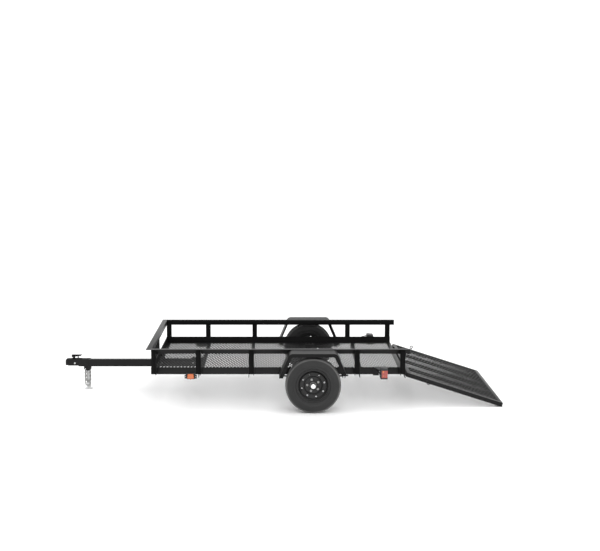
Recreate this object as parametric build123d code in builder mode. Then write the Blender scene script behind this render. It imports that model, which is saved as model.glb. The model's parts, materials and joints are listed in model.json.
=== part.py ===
"""Single-axle utility trailer with a ramp gate, standing level on its wheels and its drop leg.

X runs along the trailer, positive to the rear. Y runs across it, negative on the left side.
Z is up, with the ground at zero. The origin is the middle of the trailer's footprint.
"""

from build123d import *
from math import asin, atan, cos, degrees, hypot, radians, sin
import os

os.makedirs("parts", exist_ok=True)

# ---- Driving dimensions, in millimetres and degrees ----
BED_LENGTH = 2450.0
BED_WIDTH = 1540.0  # over the frame's side faces

# Steel angle of the bed frame: an upright leg outside and a foot that carries the mesh
FRAME_BOTTOM = 338.0
FRAME_HEIGHT = 70.0
FRAME_FOOT = 50.0
FRAME_THICK = 5.0
SILL_HEIGHT = 50.0
CROSS_HEIGHT = 50.0
CROSS_FOOT = 40.0
MESH_THICK = 4.0
MESH_GAP = 2.0  # mesh edge to an upright leg
MESH_BORDER = 14.0
MESH_STRAND = 30.0
DECK_OPENINGS = (11, 4)  # diamonds along the bed and across it
GATE_OPENINGS = (5, 4)

# Rails and posts in one size of steel angle
RAIL_TOP = 590.0
SECOND_POST = 481.0  # behind the bed's front
ANGLE_LEG = 50.8
ANGLE_THICK = 4.8

# Tongue tube and coupler
TONGUE_WIDTH = 50.8
TONGUE_HEIGHT = 76.2
TONGUE_WALL = 4.8
TONGUE_REACH = 835.0  # tube front end ahead of the bed
TONGUE_REAR_GAP = 1.0  # tube rear end to the first cross-member
SADDLE_THICK = 6.0
SADDLE_LENGTH = 60.0
SADDLE_AHEAD = 5.0
SADDLE_SHARE = 0.72  # saddle's side against the tube's height
PACKER_THICK = 8.0
CLIP_LENGTH = 118.0
CLIP_FLANGE = 40.0
COUPLER_TIP = 973.0  # coupler nose ahead of the bed
CROWN_PROUD = 4.0  # socket's crown above the channel
SOCKET_RADIUS = 25.9
SOCKET_WALL = 6.0
SOCKET_SKIRT = 38.0  # straight bore below the ball's centre
COUPLER_WALL = 4.5
COUPLER_CLEARANCE = 0.75
COUPLER_LENGTH = 205.0  # ball centre to the rear end
COUPLER_SIDE = 70.0

# Coupler lever
LEVER_WIDTH = 22.0
LEVER_AFT = 31.0  # lever's front end behind the ball's centre
LEVER_LENGTH = 108.0
LEVER_RISE = 41.0  # lever's top above the coupler
LEVER_THICK = 13.0
LEVER_TIP_THICK = 5.0
LEVER_BASE_THICK = 4.0
LEVER_BASE_RIM = 6.0
LEVER_SUPPORTS = (
    # behind the ball's centre, thickness
    (57.0, 20.0),
    (100.0, 8.0),
)

# Axle, springs and wheels
AXLE_AFT = 333.0  # axle behind the bed's centre
TYRE_RADIUS = 267.0
TYRE_WIDTH = 121.0
TYRE_BEAD_WIDTH = 96.0
TYRE_WALL = 9.0
WHEEL_GAP = 84.5  # bed side to the tyre's inner wall
RIM_FLANGE_RADIUS = 163.0
RIM_SEAT_RADIUS = 151.0
RIM_WELL_RADIUS = 132.0
RIM_THICK = 3.0
DISC_THICK = 5.0
DISC_DISH = 26.0  # disc rim ahead of its bolting face
VENT_CIRCLE = 221.0
VENT_RADIUS = 8.0
VENT_COUNT = 8
WHEEL_TURN = 15.0  # how far the wheels have rolled from a nut at the top
NUT_CIRCLE = 114.3
NUT_COUNT = 5
NUT_ACROSS = 20.6
NUT_HEIGHT = 14.0
STUD_RADIUS = 6.3
STUD_STANDOUT = 7.0
HUB_RADIUS = 33.0
HUB_FLANGE_RADIUS = 70.0
HUB_FLANGE_THICK = 9.0
HUB_INBOARD = 62.0
HUB_OUTBOARD = 24.0
CAP_RADIUS = 25.2
CAP_LENGTH = 46.0
SPINDLE_RADIUS = 15.0
BEARING_CLEARANCE = 0.05
AXLE_BEAM = 40.0
BEAM_CORNER = 5.0
BEAM_GAP = 8.0  # beam's end to the hub
CAP_GAP = 1.0  # spindle's end to the grease cap
SPRING_INSET = 25.0  # spring's middle inboard of the frame's side face
SPRING_SPAN = 600.0  # front eye to the rear hanger's bolt
SLIPPER_TAIL = 44.0  # main leaf behind the rear hanger's bolt
SPRING_WIDTH = 44.0
LEAF_THICK = 6.0
SPRING_RISE = 11.0
EYE_RADIUS = 12.0
EYE_BORE = 6.5
PIN_CLEARANCE = 0.05
HANGER_THICK = 5.0
HANGER_LENGTH = 50.0
HANGER_RIM = 6.0  # hanger below the spring eye
SPRING_PAD = 6.0
CLAMP_ROD_RADIUS = 5.0
CLAMP_PLATE = 6.0
CLAMP_GAP = 0.4
PAD_GAP = 0.3
ROD_GAP = 0.5
PLATE_RIM = 3.0

# Fenders
FENDER_WIDTH = 230.0
FENDER_FLAT = 450.0
FENDER_BASE = 650.0
FENDER_LOW = 350.0
FENDER_REAR_LOW = 394.0
FENDER_SHEET = 2.5
FENDER_LIP = 34.0
FENDER_BEND = 46.0

# Ramp gate
RAMP_LENGTH = 1000.0  # hinge axis to the tip
RAMP_WIDTH = 1430.0
RAMP_LEG = 40.0
RAMP_THICK = 4.0
RAMP_HEEL = 15.0  # hinge axis to the gate's lower rail
RAMP_MESH_INSET = 20.0
RAMP_BAR_COUNT = 3
BARREL_RADIUS = 9.0
BARREL_LENGTH = 40.0
BARREL_GAP = 0.5
SILL_BARREL = 26.0
PIN_HEADS = 8.0  # pin beyond the barrels, both ends together
HINGE_PIN_RADIUS = 6.0
HINGE_DROP = 3.0  # axis below the sill's top
HINGE_SPREAD = 1040.0
LATCH_UP = 230.0  # latch from the hinge axis, along the gate
LATCH_RADIUS = 11.0
LATCH_LENGTH = 28.0
LATCH_PIN_RADIUS = 6.0
LATCH_PIN_OUT = 9.0

# Side markers and tail lamps
MARKER_AFT = 380.0  # markers behind the bed's front
MARKER_LENGTH = 96.0
MARKER_LOW = 294.0
MARKER_TOP = 353.0
MARKER_TAB = 4.0
MARKER_BACK = 8.0
MARKER_RIM = 4.0
MARKER_CORNER = 8.0
MARKER_LENS_BASE = 72.0
MARKER_LENS_CROWN = 57.0
MARKER_LENS_HEIGHT = 51.0
MARKER_LENS_DROP = 2.0  # lens middle below the housing's
MARKER_LENS_DEPTH = 16.0
MARKER_TAPER = 12.0
LAMP_AHEAD = 247.0  # lamps' backs ahead of the bed's rear end
LAMP_STANDOFF = 12.0
LAMP_WIDTH = 112.0
LAMP_LOW = 316.0
LAMP_TOP = 425.0
LAMP_LENS_LOW = 328.0
LAMP_LENS_TOP = 400.0
LAMP_HOOD_FALL = 6.0
LAMP_BACK = 10.0
LAMP_DEPTH = 68.0
LAMP_PLATE = 4.0
LAMP_TAB = 64.0
GUSSET_LENGTH = 60.0
GUSSET_DROP = 34.0

# Drop leg beside the tongue
LEG_TUBE = 38.0
LEG_WALL = 3.0
SLEEVE_TUBE = 45.0
SLEEVE_WALL = 3.0
SLIDE_CLEARANCE = 0.5
SLEEVE_LENGTH = 120.0
SLEEVE_BELOW = 6.0  # sleeve below the tongue's top
LEG_LENGTH = 304.0
FOOT_LENGTH = 76.0
FOOT_WIDTH = 56.0
FOOT_THICK = 6.0
LEG_PLATE = 8.0
LEG_PLATE_LENGTH = 44.0
LEG_PLATE_GAP = 2.0  # plate behind the coupler's end
LEG_PLATE_HEIGHT = 70.0
PLUNGER_RISE = 30.0  # plunger above the sleeve's lower end
FOOT_CORNER = 12.0
PLUNGER_RADIUS = 9.0
PLUNGER_LENGTH = 26.0

# Chain bracket and safety chains
CHAIN_FORWARD = 745.0  # chains ahead of the bed
CHEEK_THICK = 5.0
CHEEK_SPREAD = 24.0
CHEEK_HALF = 37.0
CHEEK_LOW_HALF = 25.0
CHEEK_DROP = 44.0
CHEEK_CORNER = 16.0
CHAIN_EYE_RADIUS = 8.0
CHAIN_EYE_RISE = 14.0  # eyes above the cheeks' lower edge
LOOP_TURN = 45.0
LINK_WIRE = 5.5
LINK_INSIDE = 19.0
LINK_OPENING = 8.0
LINK_GAP = 0.3
LINK_CUT = 4.0

# ---- Places worked out from the dimensions ----
HALF_WIDTH = BED_WIDTH / 2
RAMP_SILL_BACK = FRAME_THICK
DECK_BOTTOM = FRAME_BOTTOM + FRAME_THICK
SILL_TOP = DECK_BOTTOM + FRAME_THICK
HINGE_Z = SILL_TOP - HINGE_DROP
RAMP_SLOPE = degrees(asin(HINGE_Z / hypot(RAMP_LENGTH, RAMP_LEG)) - atan(RAMP_LEG / RAMP_LENGTH))
RAMP_REACH = (
    RAMP_SILL_BACK + BARREL_RADIUS + RAMP_LENGTH * cos(radians(RAMP_SLOPE))
)
BED_X = (COUPLER_TIP - RAMP_REACH) / 2
FRONT = BED_X - BED_LENGTH / 2
REAR = BED_X + BED_LENGTH / 2
SILL_BACK = REAR + RAMP_SILL_BACK
HINGE_X = SILL_BACK + BARREL_RADIUS
AXLE_X = BED_X + AXLE_AFT
RAIL_UNDER = RAIL_TOP - ANGLE_THICK
FLANGE_REACH = ANGLE_LEG - ANGLE_THICK
TONGUE_TOP = FRAME_BOTTOM - SADDLE_THICK - PACKER_THICK
TONGUE_BOTTOM = TONGUE_TOP - TONGUE_HEIGHT
TONGUE_FRONT = FRONT - TONGUE_REACH
WHEEL_Y = HALF_WIDTH + WHEEL_GAP + TYRE_WIDTH / 2
SPRING_Y = HALF_WIDTH - SPRING_INSET
SIDES = (("left", -1), ("right", 1))

# Post places: distance of the near corner from the bed's centre, and the end its flange is on
POSTS = (
    # from bed centre, flange end (1 rear, -1 front)
    (-BED_LENGTH / 2 + ANGLE_LEG, 1),
    (-BED_LENGTH / 2 + SECOND_POST, 1),
    (-233.0, 1),
    (736.0, -1),
    (BED_LENGTH / 2 - ANGLE_LEG, -1),
)
# Cross-members: place of the upright leg's front face from the bed's centre
CROSS_MEMBERS = (-775.0, -288.0, 250.0, 790.0)


def angle_outline(u, v, leg_u, leg_v, thick):
    """Draws an angle section with its heel at (u, v); the legs' signs say which way they run."""
    step_u = thick if leg_u > 0 else -thick
    step_v = thick if leg_v > 0 else -thick
    with BuildLine() as outline:
        Polyline(
            (u, v),
            (u + leg_u, v),
            (u + leg_u, v + step_v),
            (u + step_u, v + step_v),
            (u + step_u, v + leg_v),
            (u, v + leg_v),
            close=True,
        )
    make_face(outline.edges())


def diamond_openings(length, width, rows, columns):
    """A sheet's staggered diamond openings, with strands between them and a border all round."""
    half_short = length / rows / 2
    half_long = width / columns / 2
    to_strand = half_short * half_long / hypot(half_short, half_long)
    share = 1 - MESH_STRAND / 2 / to_strand
    tip_x = half_short * share
    tip_y = half_long * share
    with BuildSketch() as openings:
        for extra in (0, 1):
            with GridLocations(2 * half_short, 2 * half_long, rows + extra, columns + extra):
                Polygon((tip_x, 0), (0, tip_y), (-tip_x, 0), (0, -tip_y))
        Rectangle(length - 2 * MESH_BORDER, width - 2 * MESH_BORDER, mode=Mode.INTERSECT)
    return openings.sketch


def corner_plane(side, keep_side_rail):
    """The 45 degree mitre plane through a front corner of the bed."""
    across = side if keep_side_rail else -side
    along = 1 if keep_side_rail else -1
    return Plane(origin=(FRONT, side * HALF_WIDTH, 0), x_dir=(0, 0, 1), z_dir=(along, across, 0))


# ---- Bed frame ----
for name, side in SIDES:
    with BuildPart() as frame_side:
        with BuildSketch(Plane.YZ.offset(FRONT)):
            angle_outline(side * HALF_WIDTH, FRAME_BOTTOM, -side * FRAME_FOOT, FRAME_HEIGHT, FRAME_THICK)
        extrude(amount=BED_LENGTH)
        split(bisect_by=corner_plane(side, True), keep=Keep.TOP)
    frame_side.part.label = f"frame_side_{name}"
    export_step(frame_side.part, f"parts/frame_side_{name}.step")

with BuildPart() as frame_front:
    with BuildSketch(Plane.XZ.offset(-HALF_WIDTH)):
        angle_outline(FRONT, FRAME_BOTTOM, FRAME_FOOT, FRAME_HEIGHT, FRAME_THICK)
    extrude(amount=BED_WIDTH)
    for name, side in SIDES:
        split(bisect_by=corner_plane(side, False), keep=Keep.TOP)
frame_front.part.label = "frame_front"
export_step(frame_front.part, "parts/frame_front.step")

with BuildPart() as rear_sill:
    with BuildSketch(Plane.XZ.offset(-(HALF_WIDTH - FRAME_THICK))):
        angle_outline(SILL_BACK, SILL_TOP, -ANGLE_LEG, -SILL_HEIGHT, FRAME_THICK)
    extrude(amount=BED_WIDTH - 2 * FRAME_THICK)
rear_sill.part.label = "rear_sill"
export_step(rear_sill.part, "parts/rear_sill.step")

CROSS_SPAN = BED_WIDTH - 2 * FRAME_FOOT
with BuildPart() as cross_members:
    for place in CROSS_MEMBERS:
        with BuildSketch(Plane.XZ.offset(-CROSS_SPAN / 2)):
            angle_outline(BED_X + place, DECK_BOTTOM, CROSS_FOOT, -CROSS_HEIGHT, FRAME_THICK)
        extrude(amount=CROSS_SPAN)
cross_members.part.label = "cross_members"
export_step(cross_members.part, "parts/cross_members.step")

with BuildPart() as floor_mesh:
    mesh_front = FRONT + FRAME_THICK + MESH_GAP
    mesh_rear = SILL_BACK - ANGLE_LEG - MESH_GAP
    mesh_half = HALF_WIDTH - FRAME_THICK - MESH_GAP
    with BuildSketch(Plane.XY.offset(DECK_BOTTOM)):
        with Locations(((mesh_front + mesh_rear) / 2, 0)):
            Rectangle(mesh_rear - mesh_front, 2 * mesh_half)
            add(diamond_openings(mesh_rear - mesh_front, 2 * mesh_half, *DECK_OPENINGS), mode=Mode.SUBTRACT)
    extrude(amount=MESH_THICK)
floor_mesh.part.label = "floor_mesh"
export_step(floor_mesh.part, "parts/floor_mesh.step")

# ---- Top rails and posts ----
for name, side in SIDES:
    with BuildPart() as top_rail:
        with BuildSketch(Plane.YZ.offset(FRONT - FLANGE_REACH)):
            angle_outline(
                side * (HALF_WIDTH - ANGLE_THICK), RAIL_TOP, side * ANGLE_LEG, -ANGLE_LEG, ANGLE_THICK
            )
        extrude(amount=BED_LENGTH + 2 * FLANGE_REACH)
        split(bisect_by=corner_plane(side, True), keep=Keep.TOP)
    top_rail.part.label = f"top_rail_{name}"
    export_step(top_rail.part, f"parts/top_rail_{name}.step")

with BuildPart() as top_rail_front:
    with BuildSketch(Plane.XZ.offset(-(HALF_WIDTH + FLANGE_REACH))):
        angle_outline(FRONT + ANGLE_THICK, RAIL_TOP, -ANGLE_LEG, -ANGLE_LEG, ANGLE_THICK)
    extrude(amount=BED_WIDTH + 2 * FLANGE_REACH)
    for name, side in SIDES:
        split(bisect_by=corner_plane(side, False), keep=Keep.TOP)
top_rail_front.part.label = "top_rail_front"
export_step(top_rail_front.part, "parts/top_rail_front.step")

for name, side in SIDES:
    with BuildPart() as posts:
        with BuildSketch(Plane.XY.offset(FRAME_BOTTOM)):
            for place, flange_end in POSTS:
                angle_outline(
                    BED_X + place, side * HALF_WIDTH, -flange_end * ANGLE_LEG, side * ANGLE_LEG, ANGLE_THICK
                )
        extrude(amount=RAIL_UNDER - FRAME_BOTTOM)
    posts.part.label = f"posts_{name}"
    export_step(posts.part, f"parts/posts_{name}.step")

with BuildPart() as post_front:
    with BuildSketch(Plane.XY.offset(FRAME_BOTTOM)):
        angle_outline(FRONT, -ANGLE_LEG / 2, -ANGLE_LEG, ANGLE_LEG, ANGLE_THICK)
    extrude(amount=RAIL_UNDER - FRAME_BOTTOM)
post_front.part.label = "post_front"
export_step(post_front.part, "parts/post_front.step")

# ---- Tongue and what fastens it ----
FIRST_CROSS = BED_X + CROSS_MEMBERS[0]
TONGUE_REAR = FIRST_CROSS - TONGUE_REAR_GAP
TONGUE_MIDDLE = TONGUE_TOP - TONGUE_HEIGHT / 2
with BuildPart() as tongue:
    with BuildSketch(Plane.YZ.offset(TONGUE_FRONT)):
        with Locations((0, TONGUE_MIDDLE)):
            RectangleRounded(TONGUE_WIDTH, TONGUE_HEIGHT, TONGUE_WALL * 1.5)
            Rectangle(TONGUE_WIDTH - 2 * TONGUE_WALL, TONGUE_HEIGHT - 2 * TONGUE_WALL, mode=Mode.SUBTRACT)
    extrude(amount=TONGUE_REAR - TONGUE_FRONT)
tongue.part.label = "tongue"
export_step(tongue.part, "parts/tongue.step")

# A saddle under the front frame angle, and two angle clips on the first cross-member
SADDLE_SIDE = TONGUE_HEIGHT * SADDLE_SHARE
with BuildPart() as tongue_brackets:
    with BuildSketch(Plane.YZ.offset(FRONT - SADDLE_AHEAD)):
        with Locations((0, TONGUE_TOP + SADDLE_THICK)):
            Rectangle(
                TONGUE_WIDTH + 2 * SADDLE_THICK, SADDLE_SIDE + SADDLE_THICK, align=(Align.CENTER, Align.MAX)
            )
            Rectangle(TONGUE_WIDTH, PACKER_THICK, align=(Align.CENTER, Align.MIN))
        with Locations((0, TONGUE_TOP)):
            Rectangle(TONGUE_WIDTH, SADDLE_SIDE, align=(Align.CENTER, Align.MAX), mode=Mode.SUBTRACT)
    extrude(amount=SADDLE_LENGTH)
    for name, side in SIDES:
        with BuildSketch(Plane.XY.offset(TONGUE_TOP - SADDLE_SIDE)):
            angle_outline(
                FIRST_CROSS, side * TONGUE_WIDTH / 2, -CLIP_LENGTH, side * CLIP_FLANGE, SADDLE_THICK
            )
        extrude(amount=FRAME_BOTTOM - TONGUE_TOP + SADDLE_SIDE)
tongue_brackets.part.label = "tongue_brackets"
export_step(tongue_brackets.part, "parts/tongue_brackets.step")

# ---- Coupler: a ball socket with an open-bottomed channel over the tongue ----
BALL_X = FRONT - COUPLER_TIP + SOCKET_RADIUS + SOCKET_WALL
SOCKET_OUTER = SOCKET_RADIUS + SOCKET_WALL
COUPLER_TOP = TONGUE_TOP + COUPLER_WALL
BALL_Z = COUPLER_TOP - SOCKET_OUTER + CROWN_PROUD
COUPLER_INSIDE = TONGUE_WIDTH + 2 * COUPLER_CLEARANCE
with BuildPart() as coupler:
    with BuildSketch(Plane.YZ.offset(BALL_X)):
        with Locations((0, COUPLER_TOP)):
            Rectangle(
                COUPLER_INSIDE + 2 * COUPLER_WALL, COUPLER_SIDE, align=(Align.CENTER, Align.MAX)
            )
        with Locations((0, TONGUE_TOP)):
            Rectangle(COUPLER_INSIDE, COUPLER_SIDE, align=(Align.CENTER, Align.MAX), mode=Mode.SUBTRACT)
    extrude(amount=COUPLER_LENGTH)
    with BuildSketch(Plane.XZ):
        with BuildLine():
            Line((BALL_X, BALL_Z + SOCKET_OUTER), (BALL_X, BALL_Z - SOCKET_SKIRT))
            Line((BALL_X, BALL_Z - SOCKET_SKIRT), (BALL_X + SOCKET_OUTER, BALL_Z - SOCKET_SKIRT))
            Line((BALL_X + SOCKET_OUTER, BALL_Z - SOCKET_SKIRT), (BALL_X + SOCKET_OUTER, BALL_Z))
            RadiusArc((BALL_X + SOCKET_OUTER, BALL_Z), (BALL_X, BALL_Z + SOCKET_OUTER), -SOCKET_OUTER)
        make_face()
    revolve(axis=Axis((BALL_X, 0, 0), (0, 0, 1)))
    with BuildSketch(Plane.XZ):
        with BuildLine():
            Line((BALL_X, BALL_Z + SOCKET_RADIUS), (BALL_X, BALL_Z - COUPLER_SIDE))
            Line((BALL_X, BALL_Z - COUPLER_SIDE), (BALL_X + SOCKET_RADIUS, BALL_Z - COUPLER_SIDE))
            Line((BALL_X + SOCKET_RADIUS, BALL_Z - COUPLER_SIDE), (BALL_X + SOCKET_RADIUS, BALL_Z))
            RadiusArc((BALL_X + SOCKET_RADIUS, BALL_Z), (BALL_X, BALL_Z + SOCKET_RADIUS), -SOCKET_RADIUS)
        make_face()
    revolve(axis=Axis((BALL_X, 0, 0), (0, 0, 1)), mode=Mode.SUBTRACT)
coupler.part.label = "coupler"
export_step(coupler.part, "parts/coupler.step")

LEVER_START = BALL_X + LEVER_AFT
LEVER_END = LEVER_START + LEVER_LENGTH
LEVER_TOP = COUPLER_TOP + LEVER_RISE
with BuildPart() as coupler_latch:
    with BuildSketch(Plane.XZ.offset(-LEVER_WIDTH / 2)):
        with BuildLine():
            Polyline(
                (LEVER_START, LEVER_TOP - LEVER_THICK),
                (LEVER_END, LEVER_TOP - LEVER_TIP_THICK),
                (LEVER_END, LEVER_TOP),
                (LEVER_START + LEVER_TIP_THICK, LEVER_TOP),
                close=True,
            )
        make_face()
        for behind, thick in LEVER_SUPPORTS:
            with Locations((BALL_X + behind, COUPLER_TOP)):
                Rectangle(thick, LEVER_RISE - LEVER_TIP_THICK, align=(Align.CENTER, Align.MIN))
    extrude(amount=LEVER_WIDTH)
    with BuildSketch(Plane.XY.offset(COUPLER_TOP)):
        with Locations(((LEVER_START + LEVER_END) / 2, 0)):
            Rectangle(LEVER_LENGTH, LEVER_WIDTH + 2 * LEVER_BASE_RIM)
    extrude(amount=LEVER_BASE_THICK)
coupler_latch.part.label = "coupler_latch"
export_step(coupler_latch.part, "parts/coupler_latch.step")

# ---- Chain bracket and safety chains ----
CHAIN_X = FRONT - CHAIN_FORWARD
CHEEK_LOW = TONGUE_BOTTOM - CHEEK_DROP
CHAIN_EYE_Z = CHEEK_LOW + CHAIN_EYE_RISE
PIVOT_IN_PLANE = LINK_INSIDE - LINK_WIRE - 2 * LINK_GAP
PIVOT_ACROSS = LINK_INSIDE + LINK_WIRE
LOOP_WIDTH = PIVOT_IN_PLANE + 2 * PIVOT_ACROSS * cos(radians(LOOP_TURN))
with BuildPart() as chain_bracket:
    for cheek in (-1, 1):
        with BuildSketch(Plane.XZ.offset(-cheek * CHEEK_SPREAD / 2 - CHEEK_THICK / 2)):
            with BuildLine():
                Polyline(
                    (CHAIN_X - CHEEK_HALF, TONGUE_BOTTOM),
                    (CHAIN_X + CHEEK_HALF, TONGUE_BOTTOM),
                    (CHAIN_X + CHEEK_HALF, CHEEK_LOW + CHEEK_CORNER),
                    (CHAIN_X + CHEEK_LOW_HALF, CHEEK_LOW),
                    (CHAIN_X - CHEEK_LOW_HALF, CHEEK_LOW),
                    (CHAIN_X - CHEEK_HALF, CHEEK_LOW + CHEEK_CORNER),
                    close=True,
                )
            make_face()
            with Locations((CHAIN_X, CHAIN_EYE_Z)):
                with GridLocations(LOOP_WIDTH, 1, 2, 1):
                    RegularPolygon(CHAIN_EYE_RADIUS, 8, rotation=22.5, mode=Mode.SUBTRACT)
        extrude(amount=CHEEK_THICK)
chain_bracket.part.label = "chain_bracket"
export_step(chain_bracket.part, "parts/chain_bracket.step")

# One link: a wire ring with flat-sided crowns, its long way along X and its ring in XY
CROWN = LINK_INSIDE / 2 + LINK_WIRE / 2
SIDE_BAR = LINK_OPENING / 2 + LINK_WIRE / 2
with BuildPart() as link_maker:
    with BuildSketch(Plane.XY.offset(-LINK_WIRE / 2)):
        for grow, mode in ((LINK_WIRE / 2, Mode.ADD), (-LINK_WIRE / 2, Mode.SUBTRACT)):
            with BuildLine():
                Polyline(
                    (CROWN + grow, SIDE_BAR - LINK_CUT),
                    (CROWN - LINK_CUT, SIDE_BAR + grow),
                    (-CROWN + LINK_CUT, SIDE_BAR + grow),
                    (-CROWN - grow, SIDE_BAR - LINK_CUT),
                    (-CROWN - grow, LINK_CUT - SIDE_BAR),
                    (-CROWN + LINK_CUT, -SIDE_BAR - grow),
                    (CROWN - LINK_CUT, -SIDE_BAR - grow),
                    (CROWN + grow, LINK_CUT - SIDE_BAR),
                    close=True,
                )
            make_face(mode=mode)
    extrude(amount=LINK_WIRE)
    chamfer(link_maker.faces().filter_by(Axis.Z).edges(), length=LINK_WIRE / (2 + 2**0.5))

# Each chain hangs as a loop from its cheek's two eyes; the count is of the links on one side
CHAIN_LOOPS = (
    # cheek, links
    (-1, 8),
    (1, 6),
)
EYE_REST = CHAIN_EYE_Z - CHAIN_EYE_RADIUS * cos(radians(22.5)) + LINK_WIRE / 2 + LINK_GAP


def chain_places(cheek, links):
    """Places of one chain's links: each turns about the crown of the one before it."""
    headings = [-90.0] * links + [-LOOP_TURN, 0.0, LOOP_TURN] + [90.0] * links
    pivot = Vector(CHAIN_X - LOOP_WIDTH / 2, cheek * CHEEK_SPREAD / 2, EYE_REST)
    places = []
    for count, heading in enumerate(headings):
        across = count % 2 == 0
        step = PIVOT_ACROSS if across else PIVOT_IN_PLANE
        ahead = Vector(cos(radians(heading)), 0, sin(radians(heading)))
        normal = Vector(0, 1, 0).cross(ahead) if across else Vector(0, 1, 0)
        places.append(Plane(origin=pivot + ahead * (step / 2), x_dir=ahead, z_dir=normal))
        pivot = pivot + ahead * step
    return places


with BuildPart() as safety_chains:
    for cheek, links in CHAIN_LOOPS:
        for place in chain_places(cheek, links):
            with Locations(place.location):
                add(link_maker.part)
safety_chains.part.label = "safety_chains"
export_step(safety_chains.part, "parts/safety_chains.step")

# ---- Drop leg beside the tongue ----
LEG_X = CHAIN_X
LEG_Y = TONGUE_WIDTH / 2 + LEG_PLATE + SLEEVE_TUBE / 2
SLEEVE_TOP = TONGUE_TOP - SLEEVE_BELOW
with BuildPart() as leg_sleeve:
    with BuildSketch(Plane.XY.offset(SLEEVE_TOP - SLEEVE_LENGTH)):
        with Locations((LEG_X, LEG_Y)):
            RectangleRounded(SLEEVE_TUBE, SLEEVE_TUBE, SLEEVE_WALL)
            Rectangle(LEG_TUBE + 2 * SLIDE_CLEARANCE, LEG_TUBE + 2 * SLIDE_CLEARANCE, mode=Mode.SUBTRACT)
    extrude(amount=SLEEVE_LENGTH)
    with BuildSketch(Plane.XY.offset(TONGUE_BOTTOM)):
        with Locations((BALL_X + COUPLER_LENGTH + LEG_PLATE_GAP, TONGUE_WIDTH / 2)):
            Rectangle(LEG_PLATE_LENGTH, LEG_PLATE, align=(Align.MIN, Align.MIN))
    extrude(amount=LEG_PLATE_HEIGHT)
    with BuildSketch(Plane.XZ.offset(-(LEG_Y + SLEEVE_TUBE / 2 + PLUNGER_LENGTH))):
        with Locations((LEG_X, SLEEVE_TOP - SLEEVE_LENGTH + PLUNGER_RISE)):
            Circle(PLUNGER_RADIUS)
    extrude(amount=PLUNGER_LENGTH)
leg_sleeve.part.label = "leg_sleeve"
export_step(leg_sleeve.part, "parts/leg_sleeve.step")

with BuildPart() as drop_leg:
    with BuildSketch(Plane.XY):
        with Locations((LEG_X, LEG_Y)):
            RectangleRounded(FOOT_LENGTH, FOOT_WIDTH, FOOT_CORNER)
    extrude(amount=FOOT_THICK)
    with BuildSketch(Plane.XY.offset(FOOT_THICK)):
        with Locations((LEG_X, LEG_Y)):
            RectangleRounded(LEG_TUBE, LEG_TUBE, LEG_WALL)
            Rectangle(LEG_TUBE - 2 * LEG_WALL, LEG_TUBE - 2 * LEG_WALL, mode=Mode.SUBTRACT)
    extrude(amount=LEG_LENGTH)
drop_leg.part.label = "drop_leg"
export_step(drop_leg.part, "parts/drop_leg.step")

# ---- Axle and springs ----
AXLE_Z = TYRE_RADIUS
SPINDLE_START = WHEEL_Y - HUB_INBOARD - BEAM_GAP
SPINDLE_END = WHEEL_Y + HUB_OUTBOARD - CAP_GAP
with BuildPart() as axle:
    with BuildSketch(Plane.XZ.offset(-SPINDLE_START)):
        with Locations((AXLE_X, AXLE_Z)):
            RectangleRounded(AXLE_BEAM, AXLE_BEAM, BEAM_CORNER)
    extrude(amount=2 * SPINDLE_START)
    with BuildSketch(Plane.XZ.offset(-SPINDLE_END)):
        with Locations((AXLE_X, AXLE_Z)):
            Circle(SPINDLE_RADIUS)
    extrude(amount=2 * SPINDLE_END)
axle.part.label = "axle"
export_step(axle.part, "parts/axle.step")

PACK_BOTTOM = AXLE_Z + AXLE_BEAM / 2 + SPRING_PAD
# Leaves from the bottom up: length ahead of the axle and behind it
LEAVES = (
    (150.0, 150.0),
    (225.0, 225.0),
    (SPRING_SPAN / 2, SPRING_SPAN / 2 + SLIPPER_TAIL),
)
EYE_Z = PACK_BOTTOM + LEAF_THICK * (len(LEAVES) - 0.5) + SPRING_RISE
BEND_RADIUS = ((SPRING_SPAN / 2) ** 2 + SPRING_RISE**2) / (2 * SPRING_RISE)
BEND_CENTRE_Z = PACK_BOTTOM + LEAF_THICK * (len(LEAVES) - 0.5) + BEND_RADIUS


def leaf_outline(front_length, rear_length, centre_radius):
    """One leaf seen from the side, bent about a centre far above the axle."""
    front_turn = degrees(asin(front_length / centre_radius))
    rear_turn = degrees(asin(rear_length / centre_radius))
    inner = centre_radius - LEAF_THICK / 2
    outer = centre_radius + LEAF_THICK / 2
    centre = (AXLE_X, BEND_CENTRE_Z)
    with BuildLine() as outline:
        low = CenterArc(centre, outer, -90.0 - front_turn, front_turn + rear_turn)
        high = CenterArc(centre, inner, -90.0 - front_turn, front_turn + rear_turn)
        Line(low @ 0, high @ 0)
        Line(low @ 1, high @ 1)
    make_face(outline.edges())


for name, side in SIDES:
    with BuildPart() as spring:
        with BuildSketch(Plane.XZ.offset(-side * SPRING_Y - SPRING_WIDTH / 2)):
            for count, (front_length, rear_length) in enumerate(reversed(LEAVES)):
                leaf_outline(front_length, rear_length, BEND_RADIUS + count * LEAF_THICK)
            with Locations((AXLE_X - SPRING_SPAN / 2, EYE_Z)):
                Circle(EYE_RADIUS)
                Circle(EYE_BORE, mode=Mode.SUBTRACT)
        extrude(amount=SPRING_WIDTH)
    spring.part.label = f"spring_{name}"
    export_step(spring.part, f"parts/spring_{name}.step")

HANGER_GAP = 0.5
HANGER_INSIDE = SPRING_WIDTH + 2 * HANGER_GAP
HANGER_LOW = EYE_Z - EYE_RADIUS - HANGER_RIM
BOLT_RADIUS = EYE_BORE - PIN_CLEARANCE
SEAT_GAP = 0.4  # slipper end to the bolt below it and the wear bar above it
SEAT_RISE = LEAF_THICK / 2 + SEAT_GAP + BOLT_RADIUS
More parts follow.
